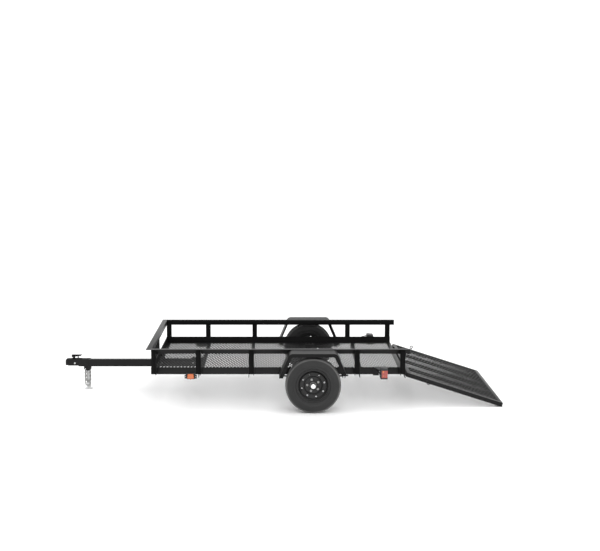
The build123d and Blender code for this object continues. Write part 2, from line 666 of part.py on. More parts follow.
# Cross bars of the hangers: hanger end, height from the spring eye
HANGER_BARS = (
    (-1, 0.0),
    (1, -SEAT_RISE),
    (1, SEAT_RISE),
)
with BuildPart() as spring_hangers:
    for name, side in SIDES:
        for end in (-1, 1):
            hanger_x = AXLE_X + end * SPRING_SPAN / 2
            for cheek in (-1, 1):
                start = side * SPRING_Y + cheek * (HANGER_INSIDE + HANGER_THICK) / 2
                with BuildSketch(Plane.XZ.offset(-start - HANGER_THICK / 2)):
                    with BuildLine():
                        Polyline(
                            (hanger_x - HANGER_LENGTH / 2, FRAME_BOTTOM),
                            (hanger_x + HANGER_LENGTH / 2, FRAME_BOTTOM),
                            (hanger_x + HANGER_LENGTH / 4, HANGER_LOW),
                            (hanger_x - HANGER_LENGTH / 4, HANGER_LOW),
                            close=True,
                        )
                    make_face()
                extrude(amount=HANGER_THICK)
        with BuildSketch(Plane.XZ.offset(-side * SPRING_Y - HANGER_INSIDE / 2 - HANGER_THICK)):
            for end, rise in HANGER_BARS:
                with Locations((AXLE_X + end * SPRING_SPAN / 2, EYE_Z + rise)):
                    Circle(BOLT_RADIUS)
        extrude(amount=HANGER_INSIDE + 2 * HANGER_THICK)
spring_hangers.part.label = "spring_hangers"
export_step(spring_hangers.part, "parts/spring_hangers.step")

# Clamps: a seat on the beam, a plate above the pack, a plate below the beam and four rods
PACK_TOP = PACK_BOTTOM + LEAF_THICK * len(LEAVES)
ROD_X = AXLE_BEAM / 2 + CLAMP_ROD_RADIUS + ROD_GAP
ROD_Y = SPRING_WIDTH / 2 + CLAMP_ROD_RADIUS + ROD_GAP
PLATE_X = 2 * (ROD_X + CLAMP_ROD_RADIUS + PLATE_RIM)
PLATE_Y = 2 * (ROD_Y + CLAMP_ROD_RADIUS + PLATE_RIM)
LOW_PLATE = AXLE_Z - AXLE_BEAM / 2 - CLAMP_PLATE
ROD_TOP = PACK_TOP + CLAMP_GAP + CLAMP_PLATE
with BuildPart() as spring_clamps:
    for name, side in SIDES:
        middle = (AXLE_X, side * SPRING_Y)
        with BuildSketch(Plane.XY.offset(LOW_PLATE)):
            with Locations(middle):
                Rectangle(PLATE_X, PLATE_Y)
        extrude(amount=CLAMP_PLATE)
        with BuildSketch(Plane.XY.offset(AXLE_Z + AXLE_BEAM / 2)):
            with Locations(middle):
                Rectangle(PLATE_X, PLATE_Y)
        extrude(amount=SPRING_PAD - PAD_GAP)
        with BuildSketch(Plane.XY.offset(PACK_TOP + CLAMP_GAP)):
            with Locations(middle):
                Rectangle(PLATE_X, PLATE_Y)
        extrude(amount=CLAMP_PLATE)
        with BuildSketch(Plane.XY.offset(LOW_PLATE)):
            with Locations(middle):
                with GridLocations(2 * ROD_X, 2 * ROD_Y, 2, 2):
                    Circle(CLAMP_ROD_RADIUS)
        extrude(amount=ROD_TOP - LOW_PLATE)
spring_clamps.part.label = "spring_clamps"
export_step(spring_clamps.part, "parts/spring_clamps.step")

# ---- Wheels: sections drawn with X as the radius and Y as the distance outboard ----
WHEEL_PLANE = Plane(origin=(AXLE_X, 0, AXLE_Z), x_dir=(1, 0, 0), z_dir=(0, 0, 1))
WHEEL_AXIS = Axis((AXLE_X, 0, AXLE_Z), (0, 1, 0))
BEAD_RADIUS = RIM_SEAT_RADIUS + 0.3
SHOULDER = 12.0
BULGE_RADIUS = (TYRE_RADIUS + RIM_FLANGE_RADIUS) / 2



def out(radius, distance):
    """A point of a wheel section, by its radius and its distance outboard of the wheel's middle."""
    return (radius, side * (WHEEL_Y + distance))


for name, side in SIDES:
    half = TYRE_WIDTH / 2
    bead = TYRE_BEAD_WIDTH / 2
    inner_top = TYRE_RADIUS - TYRE_WALL
    with BuildPart() as tyre:
        with BuildSketch(WHEEL_PLANE):
            with BuildLine():
                Line(out(TYRE_RADIUS - 3.0, -half + SHOULDER), out(TYRE_RADIUS, 0))
                Line(out(TYRE_RADIUS, 0), out(TYRE_RADIUS - 3.0, half - SHOULDER))
                for end in (-1, 1):
                    ThreePointArc(
                        out(TYRE_RADIUS - 3.0, end * (half - SHOULDER)),
                        out(TYRE_RADIUS - 9.0, end * (half - 4.0)),
                        out(TYRE_RADIUS - 20.0, end * (half - 1.5)),
                    )
                    ThreePointArc(
                        out(TYRE_RADIUS - 20.0, end * (half - 1.5)),
                        out(BULGE_RADIUS, end * half),
                        out(RIM_FLANGE_RADIUS + 4.0, end * (bead + 3.0)),
                    )
                    Polyline(
                        out(RIM_FLANGE_RADIUS + 4.0, end * (bead + 3.0)),
                        out(RIM_FLANGE_RADIUS + 1.0, end * (bead - 0.3)),
                        out(BEAD_RADIUS, end * (bead - 0.3)),
                        out(BEAD_RADIUS, end * (bead - 14.0)),
                        out(BULGE_RADIUS, end * (half - TYRE_WALL)),
                        out(inner_top - 10.0, end * (half - TYRE_WALL)),
                        out(inner_top - 3.0, end * (half - SHOULDER - TYRE_WALL)),
                    )
                Line(
                    out(inner_top - 3.0, SHOULDER + TYRE_WALL - half),
                    out(inner_top - 3.0, half - SHOULDER - TYRE_WALL),
                )
            make_face()
        revolve(axis=WHEEL_AXIS)
    tyre.part.label = f"tyre_{name}"
    export_step(tyre.part, f"parts/tyre_{name}.step")

    DISC_EDGE = RIM_WELL_RADIUS - RIM_THICK
    with BuildPart() as wheel:
        with BuildSketch(WHEEL_PLANE):
            with BuildLine():
                Polyline(
                    out(RIM_FLANGE_RADIUS, -bead - RIM_THICK),
                    out(RIM_FLANGE_RADIUS, -bead),
                    out(RIM_SEAT_RADIUS, -bead),
                    out(RIM_SEAT_RADIUS, -bead + 18.0),
                    out(RIM_WELL_RADIUS, -bead + 30.0),
                    out(RIM_WELL_RADIUS, bead - 34.0),
                    out(RIM_SEAT_RADIUS, bead - 18.0),
                    out(RIM_SEAT_RADIUS, bead),
                    out(RIM_FLANGE_RADIUS, bead),
                    out(RIM_FLANGE_RADIUS, bead + RIM_THICK),
                    out(RIM_SEAT_RADIUS - RIM_THICK, bead + RIM_THICK),
                    out(RIM_SEAT_RADIUS - RIM_THICK, bead - 17.0),
                    out(DISC_EDGE, bead - 33.0),
                    out(DISC_EDGE, -bead + 29.0),
                    out(RIM_SEAT_RADIUS - RIM_THICK, -bead + 17.0),
                    out(RIM_SEAT_RADIUS - RIM_THICK, -bead - RIM_THICK),
                    close=True,
                )
            make_face()
            with BuildLine():
                Polyline(
                    out(HUB_RADIUS + 0.3, 0),
                    out(82.0, 0),
                    out(94.0, 14.0),
                    out(124.0, DISC_DISH - 6.0),
                    out(DISC_EDGE, 4.0),
                    out(DISC_EDGE, 14.0),
                    out(127.0, DISC_DISH),
                    out(92.0, 19.0),
                    out(80.0, DISC_THICK),
                    out(HUB_RADIUS + 0.3, DISC_THICK),
                    close=True,
                )
            make_face()
        revolve(axis=WHEEL_AXIS)
        with BuildSketch(Plane(origin=(AXLE_X, side * WHEEL_Y, AXLE_Z), x_dir=(1, 0, 0), z_dir=(0, side, 0))):
            with PolarLocations(VENT_CIRCLE / 2, VENT_COUNT, start_angle=WHEEL_TURN):
                Circle(VENT_RADIUS)
            with PolarLocations(NUT_CIRCLE / 2, NUT_COUNT, start_angle=90 + WHEEL_TURN):
                Circle(STUD_RADIUS + 0.4)
        extrude(amount=DISC_DISH + 10.0, mode=Mode.SUBTRACT)
    wheel.part.label = f"wheel_{name}"
    export_step(wheel.part, f"parts/wheel_{name}.step")

    HUB_BORE = SPINDLE_RADIUS + BEARING_CLEARANCE
    with BuildPart() as hub:
        with BuildSketch(WHEEL_PLANE):
            with BuildLine():
                Polyline(
                    out(HUB_BORE, -HUB_INBOARD),
                    out(HUB_RADIUS, -HUB_INBOARD),
                    out(HUB_RADIUS, -HUB_FLANGE_THICK - 8.0),
                    out(HUB_RADIUS + 10.0, -HUB_FLANGE_THICK),
                    out(HUB_FLANGE_RADIUS, -HUB_FLANGE_THICK),
                    out(HUB_FLANGE_RADIUS, 0),
                    out(HUB_RADIUS, 0),
                    out(HUB_RADIUS, HUB_OUTBOARD - 8.0),
                    out(CAP_RADIUS + 1.0, HUB_OUTBOARD),
                    out(HUB_BORE, HUB_OUTBOARD),
                    close=True,
                )
            make_face()
        revolve(axis=WHEEL_AXIS)
        stud_plane = Plane(origin=(AXLE_X, side * WHEEL_Y, AXLE_Z), x_dir=(1, 0, 0), z_dir=(0, side, 0))
        with BuildSketch(stud_plane):
            with PolarLocations(NUT_CIRCLE / 2, NUT_COUNT, start_angle=90 + WHEEL_TURN):
                Circle(STUD_RADIUS)
        extrude(amount=DISC_THICK + NUT_HEIGHT + STUD_STANDOUT)
        with BuildSketch(stud_plane.offset(DISC_THICK)):
            with PolarLocations(NUT_CIRCLE / 2, NUT_COUNT, start_angle=90 + WHEEL_TURN):
                RegularPolygon(NUT_ACROSS / 2, 6, major_radius=False)
        extrude(amount=NUT_HEIGHT)
    hub.part.label = f"hub_{name}"
    export_step(hub.part, f"parts/hub_{name}.step")

    with BuildPart() as grease_cap:
        with BuildSketch(WHEEL_PLANE):
            with BuildLine():
                start = HUB_OUTBOARD
                end = HUB_OUTBOARD + CAP_LENGTH
                Polyline(
                    out(0, start),
                    out(CAP_RADIUS + 1.5, start),
                    out(CAP_RADIUS + 1.5, start + 4.0),
                    out(CAP_RADIUS, start + 6.0),
                    out(CAP_RADIUS, end - 9.0),
                )
                ThreePointArc(
                    out(CAP_RADIUS, end - 9.0), out(CAP_RADIUS - 2.8, end - 2.8), out(CAP_RADIUS - 9.0, end)
                )
                Polyline(out(CAP_RADIUS - 9.0, end), out(0, end), out(0, start))
            make_face()
        revolve(axis=WHEEL_AXIS)
    grease_cap.part.label = f"grease_cap_{name}"
    export_step(grease_cap.part, f"parts/grease_cap_{name}.step")

# ---- Fenders: folded sheet with a flat top, sloping ends and a side lip ----
FENDER_TOP = RAIL_UNDER
FENDER_OUT = HALF_WIDTH + FENDER_WIDTH
FENDER_SHAPE = (
    # from the axle, height
    (-FENDER_BASE / 2, FENDER_LOW),
    (-FENDER_FLAT / 2, FENDER_TOP),
    (FENDER_FLAT / 2, FENDER_TOP),
    (FENDER_BASE / 2, FENDER_LOW),
)


def fender_outline(inset):
    """The fender's side outline, set in by the same distance all round except at its open bottom."""
    slope = hypot((FENDER_BASE - FENDER_FLAT) / 2, FENDER_TOP - FENDER_LOW)
    along = (FENDER_BASE - FENDER_FLAT) / 2 / slope
    up = (FENDER_TOP - FENDER_LOW) / slope
    low_half = FENDER_BASE / 2 - inset / up
    top_half = FENDER_FLAT / 2 - inset * (1 - along) / up
    with BuildLine() as outline:
        FilletPolyline(
            (AXLE_X - low_half, FENDER_LOW),
            (AXLE_X - top_half, FENDER_TOP - inset),
            (AXLE_X + top_half, FENDER_TOP - inset),
            (AXLE_X + low_half, FENDER_LOW),
            radius=FENDER_BEND - inset,
        )
        Line(outline.line @ 1, outline.line @ 0)
    return make_face(outline.edges(), mode=Mode.PRIVATE)


for name, side in SIDES:
    with BuildPart() as fender:
        with BuildSketch(Plane.XZ.offset(-side * HALF_WIDTH)):
            add(fender_outline(0))
            add(fender_outline(FENDER_SHEET), mode=Mode.SUBTRACT)
        extrude(amount=-side * FENDER_WIDTH)
        with BuildSketch(Plane.XZ.offset(-side * (FENDER_OUT - FENDER_SHEET))):
            add(fender_outline(0))
            add(fender_outline(FENDER_LIP), mode=Mode.SUBTRACT)
        extrude(amount=-side * FENDER_SHEET)
        with BuildSketch(Plane.XZ.offset(-side * HALF_WIDTH)):
            with Locations((AXLE_X, FENDER_LOW)):
                Rectangle(FENDER_BASE, FENDER_REAR_LOW - FENDER_LOW, align=(Align.MIN, Align.MIN))
        extrude(amount=-side * FENDER_WIDTH, mode=Mode.SUBTRACT)
    fender.part.label = f"fender_{name}"
    export_step(fender.part, f"parts/fender_{name}.step")

# ---- Lamps ----
MARKER_X = FRONT + MARKER_AFT
MARKER_LENS_LOW = (MARKER_LOW + MARKER_TOP - MARKER_LENS_HEIGHT) / 2 - MARKER_LENS_DROP


def marker_outline(grow):
    """The marker lens seen from the side, longer below than above, grown by a rim."""
    low_half = MARKER_LENS_BASE / 2 + grow
    top_half = MARKER_LENS_CROWN / 2 + grow
    with BuildLine() as outline:
        FilletPolyline(
            (MARKER_X - low_half, MARKER_LENS_LOW - grow),
            (MARKER_X + low_half, MARKER_LENS_LOW - grow),
            (MARKER_X + top_half, MARKER_LENS_LOW + MARKER_LENS_HEIGHT + grow),
            (MARKER_X - top_half, MARKER_LENS_LOW + MARKER_LENS_HEIGHT + grow),
            radius=MARKER_CORNER,
            close=True,
        )
    make_face(outline.edges())


with BuildPart() as marker_housings:
    for name, side in SIDES:
        with BuildSketch(Plane.XZ.offset(-side * HALF_WIDTH)):
            with Locations((MARKER_X, (MARKER_LOW + MARKER_TOP) / 2)):
                RectangleRounded(MARKER_LENGTH, MARKER_TOP - MARKER_LOW, MARKER_CORNER)
        extrude(amount=-side * MARKER_TAB)
        with BuildSketch(Plane.XZ.offset(-side * (HALF_WIDTH + MARKER_TAB))):
            marker_outline(MARKER_RIM)
        extrude(amount=-side * MARKER_BACK)
marker_housings.part.label = "marker_housings"
export_step(marker_housings.part, "parts/marker_housings.step")

with BuildPart() as marker_lenses:
    for name, side in SIDES:
        with BuildSketch(Plane.XZ.offset(-side * (HALF_WIDTH + MARKER_TAB + MARKER_BACK))):
            marker_outline(0)
        extrude(amount=-side * MARKER_LENS_DEPTH, taper=MARKER_TAPER)
marker_lenses.part.label = "marker_lenses"
export_step(marker_lenses.part, "parts/marker_lenses.step")

LAMP_FACE_X = REAR - LAMP_AHEAD
LAMP_INNER = HALF_WIDTH + LAMP_STANDOFF
LAMP_OUTER = LAMP_INNER + LAMP_WIDTH
LAMP_END_X = LAMP_FACE_X + LAMP_DEPTH
GUSSET_REACH = LAMP_OUTER - HALF_WIDTH - LAMP_PLATE
with BuildPart() as lamp_brackets:
    for name, side in SIDES:
        with BuildSketch(Plane.XY.offset(LAMP_LENS_LOW)):
            angle_outline(
                LAMP_FACE_X, side * HALF_WIDTH, -LAMP_TAB, side * (LAMP_OUTER - HALF_WIDTH), LAMP_PLATE
            )
        extrude(amount=FRAME_BOTTOM + FRAME_HEIGHT - LAMP_LENS_LOW)
        gusset_plane = Plane(
            origin=(LAMP_FACE_X, side * (HALF_WIDTH + LAMP_PLATE), FRAME_BOTTOM + FRAME_HEIGHT),
            x_dir=(-1, 0, 0),
            z_dir=(0, -GUSSET_DROP, -side * GUSSET_REACH),
        )
        with BuildSketch(gusset_plane):
            with BuildLine():
                Polyline((0, 0), (GUSSET_LENGTH, 0), (0, hypot(GUSSET_REACH, GUSSET_DROP)), close=True)
            make_face()
        extrude(amount=side * LAMP_PLATE)
lamp_brackets.part.label = "lamp_brackets"
export_step(lamp_brackets.part, "parts/lamp_brackets.step")

with BuildPart() as tail_lamp_housings:
    for name, side in SIDES:
        with BuildSketch(Plane.XZ.offset(-side * LAMP_INNER)):
            with BuildLine():
                Polyline(
                    (LAMP_FACE_X, LAMP_LOW),
                    (LAMP_END_X, LAMP_LOW),
                    (LAMP_END_X, LAMP_LENS_LOW),
                    (LAMP_FACE_X + LAMP_BACK, LAMP_LENS_LOW),
                    (LAMP_FACE_X + LAMP_BACK, LAMP_LENS_TOP),
                    (LAMP_END_X, LAMP_LENS_TOP),
                    (LAMP_END_X, LAMP_TOP - LAMP_HOOD_FALL),
                    (LAMP_FACE_X, LAMP_TOP),
                    close=True,
                )
            make_face()
        extrude(amount=-side * LAMP_WIDTH)
tail_lamp_housings.part.label = "tail_lamp_housings"
export_step(tail_lamp_housings.part, "parts/tail_lamp_housings.step")

with BuildPart() as tail_lamp_lenses:
    for name, side in SIDES:
        with BuildSketch(Plane.XZ.offset(-side * LAMP_INNER)):
            with Locations((LAMP_FACE_X + LAMP_BACK, LAMP_LENS_LOW)):
                Rectangle(
                    LAMP_DEPTH - LAMP_BACK, LAMP_LENS_TOP - LAMP_LENS_LOW, align=(Align.MIN, Align.MIN)
                )
        extrude(amount=-side * LAMP_WIDTH)
tail_lamp_lenses.part.label = "tail_lamp_lenses"
export_step(tail_lamp_lenses.part, "parts/tail_lamp_lenses.step")

# ---- Ramp hinges: barrels on the sill, with the pin through the gate's barrel ----
HINGE_PLACES = (-HINGE_SPREAD / 2, HINGE_SPREAD / 2)
with BuildPart() as sill_hinges:
    for place in HINGE_PLACES:
        for end in (-1, 1):
            start = place + end * (BARREL_LENGTH / 2 + BARREL_GAP + SILL_BARREL / 2) + SILL_BARREL / 2
            with BuildSketch(Plane.XZ.offset(-start)):
                with Locations((HINGE_X, HINGE_Z)):
                    Circle(BARREL_RADIUS)
                with Locations((SILL_BACK, HINGE_Z)):
                    Rectangle(BARREL_RADIUS, 2 * BARREL_RADIUS, align=(Align.MIN, Align.CENTER))
            extrude(amount=SILL_BARREL)
        pin_length = BARREL_LENGTH + 2 * (BARREL_GAP + SILL_BARREL) + PIN_HEADS
        with BuildSketch(Plane.XZ.offset(-place - pin_length / 2)):
            with Locations((HINGE_X, HINGE_Z)):
                Circle(HINGE_PIN_RADIUS)
        extrude(amount=pin_length)
sill_hinges.part.label = "sill_hinges"
export_step(sill_hinges.part, "parts/sill_hinges.step")

# ---- Ramp gate, drawn in its own slope: local X down the ramp from the hinge, local Z off its face ----
SLOPE = radians(RAMP_SLOPE)
ALONG = Vector(cos(SLOPE), 0, -sin(SLOPE))
OFF = Vector(sin(SLOPE), 0, cos(SLOPE))
HINGE_POINT = Vector(HINGE_X, 0, HINGE_Z)


def ramp_side(y):
    """Plane seen from the side: x along the ramp, y off its face; it faces -Y from the given y."""
    return Plane(origin=HINGE_POINT + Vector(0, y, 0), x_dir=ALONG, z_dir=(0, -1, 0))


def ramp_section(distance):
    """Plane across the ramp at a distance from the hinge: x across, y off its face."""
    return Plane(origin=HINGE_POINT + ALONG * distance, x_dir=(0, 1, 0), z_dir=ALONG)


RAMP_HALF = RAMP_WIDTH / 2
RAMP_ENDS = (("heel", RAMP_HEEL, 1), ("tip", RAMP_LENGTH, -1))


def ramp_mitre(distance, side, along, across):
    """Mitre plane at a corner of the gate, keeping what lies on the given side of it."""
    corner = HINGE_POINT + ALONG * distance + Vector(0, side * RAMP_HALF, 0)
    return Plane(origin=corner, x_dir=OFF, z_dir=ALONG * along + Vector(0, across, 0))


for name, side in SIDES:
    with BuildPart() as ramp_rail:
        with BuildSketch(ramp_section(RAMP_HEEL)):
            angle_outline(side * RAMP_HALF, 0, -side * RAMP_LEG, -RAMP_LEG, RAMP_THICK)
        extrude(amount=RAMP_LENGTH - RAMP_HEEL)
        for end_name, distance, inward in RAMP_ENDS:
            split(bisect_by=ramp_mitre(distance, side, inward, side), keep=Keep.TOP)
    ramp_rail.part.label = f"ramp_rail_{name}"
    export_step(ramp_rail.part, f"parts/ramp_rail_{name}.step")

for end_name, distance, inward in RAMP_ENDS:
    with BuildPart() as ramp_rail:
        with BuildSketch(ramp_side(RAMP_HALF)):
            angle_outline(distance, 0, inward * RAMP_LEG, -RAMP_LEG, RAMP_THICK)
        extrude(amount=RAMP_WIDTH)
        for name, side in SIDES:
            split(bisect_by=ramp_mitre(distance, side, -inward, -side), keep=Keep.TOP)
    ramp_rail.part.label = f"ramp_rail_{end_name}"
    export_step(ramp_rail.part, f"parts/ramp_rail_{end_name}.step")

BAR_HEIGHT = RAMP_LEG - RAMP_THICK - MESH_THICK
BAR_PITCH = RAMP_WIDTH / (RAMP_BAR_COUNT + 1)
with BuildPart() as ramp_bars:
    for count in range(RAMP_BAR_COUNT):
        place = (count + 1) * BAR_PITCH - RAMP_HALF
        with BuildSketch(ramp_section(RAMP_HEEL + RAMP_THICK)):
            with Locations((place, -RAMP_LEG)):
                Rectangle(RAMP_THICK, BAR_HEIGHT, align=(Align.CENTER, Align.MIN))
        extrude(amount=RAMP_LENGTH - RAMP_HEEL - 2 * RAMP_THICK)
ramp_bars.part.label = "ramp_bars"
export_step(ramp_bars.part, "parts/ramp_bars.step")

with BuildPart() as ramp_mesh:
    mesh_start = RAMP_HEEL + RAMP_MESH_INSET
    mesh_length = RAMP_LENGTH - RAMP_HEEL - 2 * RAMP_MESH_INSET
    mesh_width = RAMP_WIDTH - 2 * RAMP_MESH_INSET
    mesh_middle = HINGE_POINT + ALONG * (mesh_start + mesh_length / 2) + OFF * -RAMP_THICK
    with BuildSketch(Plane(origin=mesh_middle, x_dir=ALONG, z_dir=OFF)):
        Rectangle(mesh_length, mesh_width)
        add(diamond_openings(mesh_length, mesh_width, *GATE_OPENINGS), mode=Mode.SUBTRACT)
    extrude(amount=-MESH_THICK)
ramp_mesh.part.label = "ramp_mesh"
export_step(ramp_mesh.part, "parts/ramp_mesh.step")

with BuildPart() as ramp_hinges:
    for place in HINGE_PLACES:
        with BuildSketch(ramp_side(place + BARREL_LENGTH / 2)):
            Circle(BARREL_RADIUS)
            Rectangle(RAMP_HEEL, BARREL_RADIUS, align=(Align.MIN, Align.MAX))
            Circle(HINGE_PIN_RADIUS + PIN_CLEARANCE, mode=Mode.SUBTRACT)
        extrude(amount=BARREL_LENGTH)
ramp_hinges.part.label = "ramp_hinges"
export_step(ramp_hinges.part, "parts/ramp_hinges.step")

LATCH_OFF = -RAMP_LEG / 2
with BuildPart() as ramp_latches:
    for name, side in SIDES:
        with BuildSketch(ramp_side(side * RAMP_HALF)):
            with Locations((LATCH_UP, LATCH_OFF)):
                Circle(LATCH_RADIUS)
        extrude(amount=-side * LATCH_LENGTH)
        with BuildSketch(ramp_side(side * RAMP_HALF)):
            with Locations((LATCH_UP, LATCH_OFF)):
                Circle(LATCH_PIN_RADIUS)
        extrude(amount=-side * (LATCH_LENGTH + LATCH_PIN_OUT))
ramp_latches.part.label = "ramp_latches"
export_step(ramp_latches.part, "parts/ramp_latches.step")
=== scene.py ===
import json
import math

import bmesh
import bpy
from mathutils import Matrix, Vector


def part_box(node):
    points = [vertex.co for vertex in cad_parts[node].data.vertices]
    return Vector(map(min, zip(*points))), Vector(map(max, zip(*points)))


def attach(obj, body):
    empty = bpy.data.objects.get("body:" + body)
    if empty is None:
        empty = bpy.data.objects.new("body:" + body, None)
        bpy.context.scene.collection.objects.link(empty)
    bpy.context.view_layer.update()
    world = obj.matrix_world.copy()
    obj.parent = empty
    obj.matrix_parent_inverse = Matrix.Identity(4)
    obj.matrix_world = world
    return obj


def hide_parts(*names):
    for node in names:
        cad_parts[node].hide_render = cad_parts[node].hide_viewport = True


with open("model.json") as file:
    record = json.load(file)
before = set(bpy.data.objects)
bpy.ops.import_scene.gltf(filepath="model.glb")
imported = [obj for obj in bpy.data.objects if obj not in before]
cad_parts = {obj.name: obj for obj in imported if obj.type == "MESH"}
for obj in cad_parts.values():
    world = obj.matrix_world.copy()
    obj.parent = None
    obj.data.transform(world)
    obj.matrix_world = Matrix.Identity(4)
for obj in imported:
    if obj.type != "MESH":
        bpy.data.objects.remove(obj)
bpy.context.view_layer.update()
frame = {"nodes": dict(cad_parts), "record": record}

SIDES = (("left", -1), ("right", 1))
X_AXIS = Vector((1, 0, 0))
Y_AXIS = Vector((0, 1, 0))
Z_AXIS = Vector((0, 0, 1))
SAME_CORNER = 0.00002  # corners closer than this are one
AXLE = sum(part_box("grease_cap_left"), Vector()) / 2
TYRE_RADIUS = 0.267
BEHAVIOUR = frame["record"]["behaviour"]
BODY_OF = {node: body for body, nodes in BEHAVIOUR["bodies"].items() for node in nodes}
JOINTS = {joint["name"]: joint for joint in BEHAVIOUR["joints"]}
HINGE_POINT = Vector(JOINTS["ramp_hinge"]["pos_m"])
RAMP_SLOPE = math.radians(17.874)
DOWN_RAMP = Vector((math.cos(RAMP_SLOPE), 0, -math.sin(RAMP_SLOPE)))
OFF_RAMP = Vector((math.sin(RAMP_SLOPE), 0, math.cos(RAMP_SLOPE)))


# ---- The view ----
SENSOR_WIDTH = 36.0
FOCAL_LENGTH = 67.9
SIDE_SHIFT = 0.0363
CAMERA_PLACE = (0.0036, -11.4616, 2.7967)
CAMERA_TILT = math.radians(82.037)


def place_camera():
    """The camera stands to the trailer's left, a little above it."""
    lens_data = bpy.data.cameras.new("camera")
    lens_data.sensor_width = SENSOR_WIDTH
    lens_data.lens = FOCAL_LENGTH
    lens_data.shift_x = SIDE_SHIFT
    camera = bpy.data.objects.new("camera", lens_data)
    camera.location = CAMERA_PLACE
    camera.rotation_euler = (CAMERA_TILT, 0, 0)
    bpy.context.collection.objects.link(camera)
    bpy.context.scene.camera = camera


def soft_light(name, place, target, size, watts):
    """A square light panel that faces its target."""
    panel = bpy.data.lights.new(name, "AREA")
    panel.shape = "SQUARE"
    panel.size = size
    panel.energy = watts
    lamp = bpy.data.objects.new(name, panel)
    lamp.location = place
    lamp.rotation_euler = (Vector(target) - Vector(place)).to_track_quat("-Z", "Y").to_euler()
    bpy.context.collection.objects.link(lamp)


# ---- Finishes ----
def grey(value):
    return (value, value, value)


class Signal:
    """A node's output; Python's operators on it add Math nodes."""

    def __init__(self, finish, socket):
        self.finish = finish
        self.socket = socket

    def __add__(self, other):
        return self.finish.maths("ADD", self, other)

    def __sub__(self, other):
        return self.finish.maths("SUBTRACT", self, other)

    def __rsub__(self, other):
        return self.finish.maths("SUBTRACT", other, self)

    def __mul__(self, other):
        return self.finish.maths("MULTIPLY", self, other)

    __radd__ = __add__
    __rmul__ = __mul__

    def step(self, low, high):
        """0 below low, 1 above high, and smooth between them."""
        return self.finish.node(
            "ShaderNodeMapRange", {"interpolation_type": "SMOOTHSTEP"}, {0: self, 1: low, 2: high}
        )


class Finish:
    """One procedural material with its shader's fixed values."""

    def __init__(self, name, **fixed):
        self.material = bpy.data.materials.new(name)
        self.material.use_nodes = True
        self.tree = self.material.node_tree
        self.shader = self.tree.nodes["Principled BSDF"]
        for key, value in fixed.items():
            label = key.replace("_", " ").title().replace("Ior", "IOR")
            self.feed(self.shader.inputs[label], value)
        self.place = self.node("ShaderNodeTexCoord", output="Object")

    def feed(self, socket, value):
        """Links a signal to a socket, or sets the socket's value."""
        if isinstance(value, Signal):
            self.tree.links.new(value.socket, socket)
        elif isinstance(value, tuple) and len(value) == 3 and socket.type == "RGBA":
            socket.default_value = (*value, 1.0)
        else:
            socket.default_value = value

    def node(self, kind, settings=None, inputs=None, output=0):
        """Adds a node, sets and feeds it, and returns one of its outputs."""
        made = self.tree.nodes.new(kind)
        for key, value in (settings or {}).items():
            setattr(made, key, value)
        for key, value in (inputs or {}).items():
            self.feed(made.inputs[key], value)
        return Signal(self, made.outputs[output])

    def maths(self, operation, *values):
        return self.node("ShaderNodeMath", {"operation": operation}, dict(enumerate(values)))

    def noise(self, scale, detail=2.0, stretch=(1, 1, 1)):
        spread = self.node("ShaderNodeMapping", {}, {"Vector": self.place, "Scale": stretch})
        inputs = {"Vector": spread, "Scale": scale, "Detail": detail}
        return self.node("ShaderNodeTexNoise", {}, inputs)

    def mix(self, factor, first, second):
        inputs = {0: factor, 6: first, 7: second}
        return self.node("ShaderNodeMix", {"data_type": "RGBA"}, inputs, 2)

    def axis(self, name):
        return self.node("ShaderNodeSeparateXYZ", {}, {0: self.place}, name)

    def colour(self, value):
        self.feed(self.shader.inputs["Base Color"], value)

    def rough(self, value):
        self.feed(self.shader.inputs["Roughness"], value)

    def relief(self, height, depth, strength=1.0):
        inputs = {"Height": height, "Distance": depth, "Strength": strength}
        self.feed(self.shader.inputs["Normal"], self.node("ShaderNodeBump", {}, inputs))


def powder_coat(name, dark, light, rough, shine=0.18):
    """Black powder coat: an orange-peel surface with slow changes in sheen and a trace of dust."""
    finish = Finish(name, ior=1.5, specular_ior_level=shine)
    cloud = finish.noise(scale=3.0, detail=3.0)
    peel = finish.noise(scale=700.0, detail=1.0)
    speck = finish.noise(scale=160.0, detail=4.0)
    finish.colour(finish.mix(cloud.step(0.3, 0.75), dark, light))
    finish.rough(rough + cloud * 0.10 + speck * 0.08 - 0.09)
    finish.relief(peel + speck * 0.6, depth=0.00006)
    return finish.material


# How far below the tread the grey of painted sheen and dust begins, and where it is full
SHEEN_AND_DUST_START = 0.0230
SHEEN_AND_DUST_FULL = 0.0110


def tyre_finish():
    """Black rubber, greyer on the tread and its shoulders with painted sheen and some dust, with
    fine mould grain.
    """
    finish = Finish("tyre_rubber", ior=1.5, specular_ior_level=0.42)
    grain = finish.noise(scale=900.0, detail=2.0)
    cloud = finish.noise(scale=9.0, detail=3.0)
    forward = finish.axis("X") - AXLE.x
    upward = finish.axis("Z") - AXLE.z
    radius = finish.maths("SQRT", forward * forward + upward * upward)
    # painted sheen and dust: the tread and its shoulders are greyer all round the tyre
    sheen_and_dust_band = radius.step(TYRE_RADIUS - SHEEN_AND_DUST_START, TYRE_RADIUS - SHEEN_AND_DUST_FULL)
    rubber = finish.mix(cloud.step(0.3, 0.7), grey(0.006), grey(0.012))
    dust_and_sheen = finish.mix(cloud.step(0.2, 0.8), (0.075, 0.075, 0.074), (0.125, 0.124, 0.122))
    finish.colour(finish.mix(sheen_and_dust_band, rubber, dust_and_sheen))
    finish.rough(0.48 + cloud * 0.16 + sheen_and_dust_band * 0.15)
    finish.relief(grain, depth=0.00008)
    return finish.material


def zinc_finish():
    """Bright zinc plating with a faint spangle and duller patches."""
    finish = Finish("zinc_plating", metallic=1.0)
    spangle = finish.noise(scale=260.0, detail=1.0)
    cloud = finish.noise(scale=40.0, detail=3.0)
    finish.colour(finish.mix(cloud.step(0.35, 0.7), (0.66, 0.67, 0.68), (0.48, 0.48, 0.47)))
    finish.rough(0.30 + spangle * 0.16)
    finish.relief(spangle, depth=0.00004)
    return finish.material


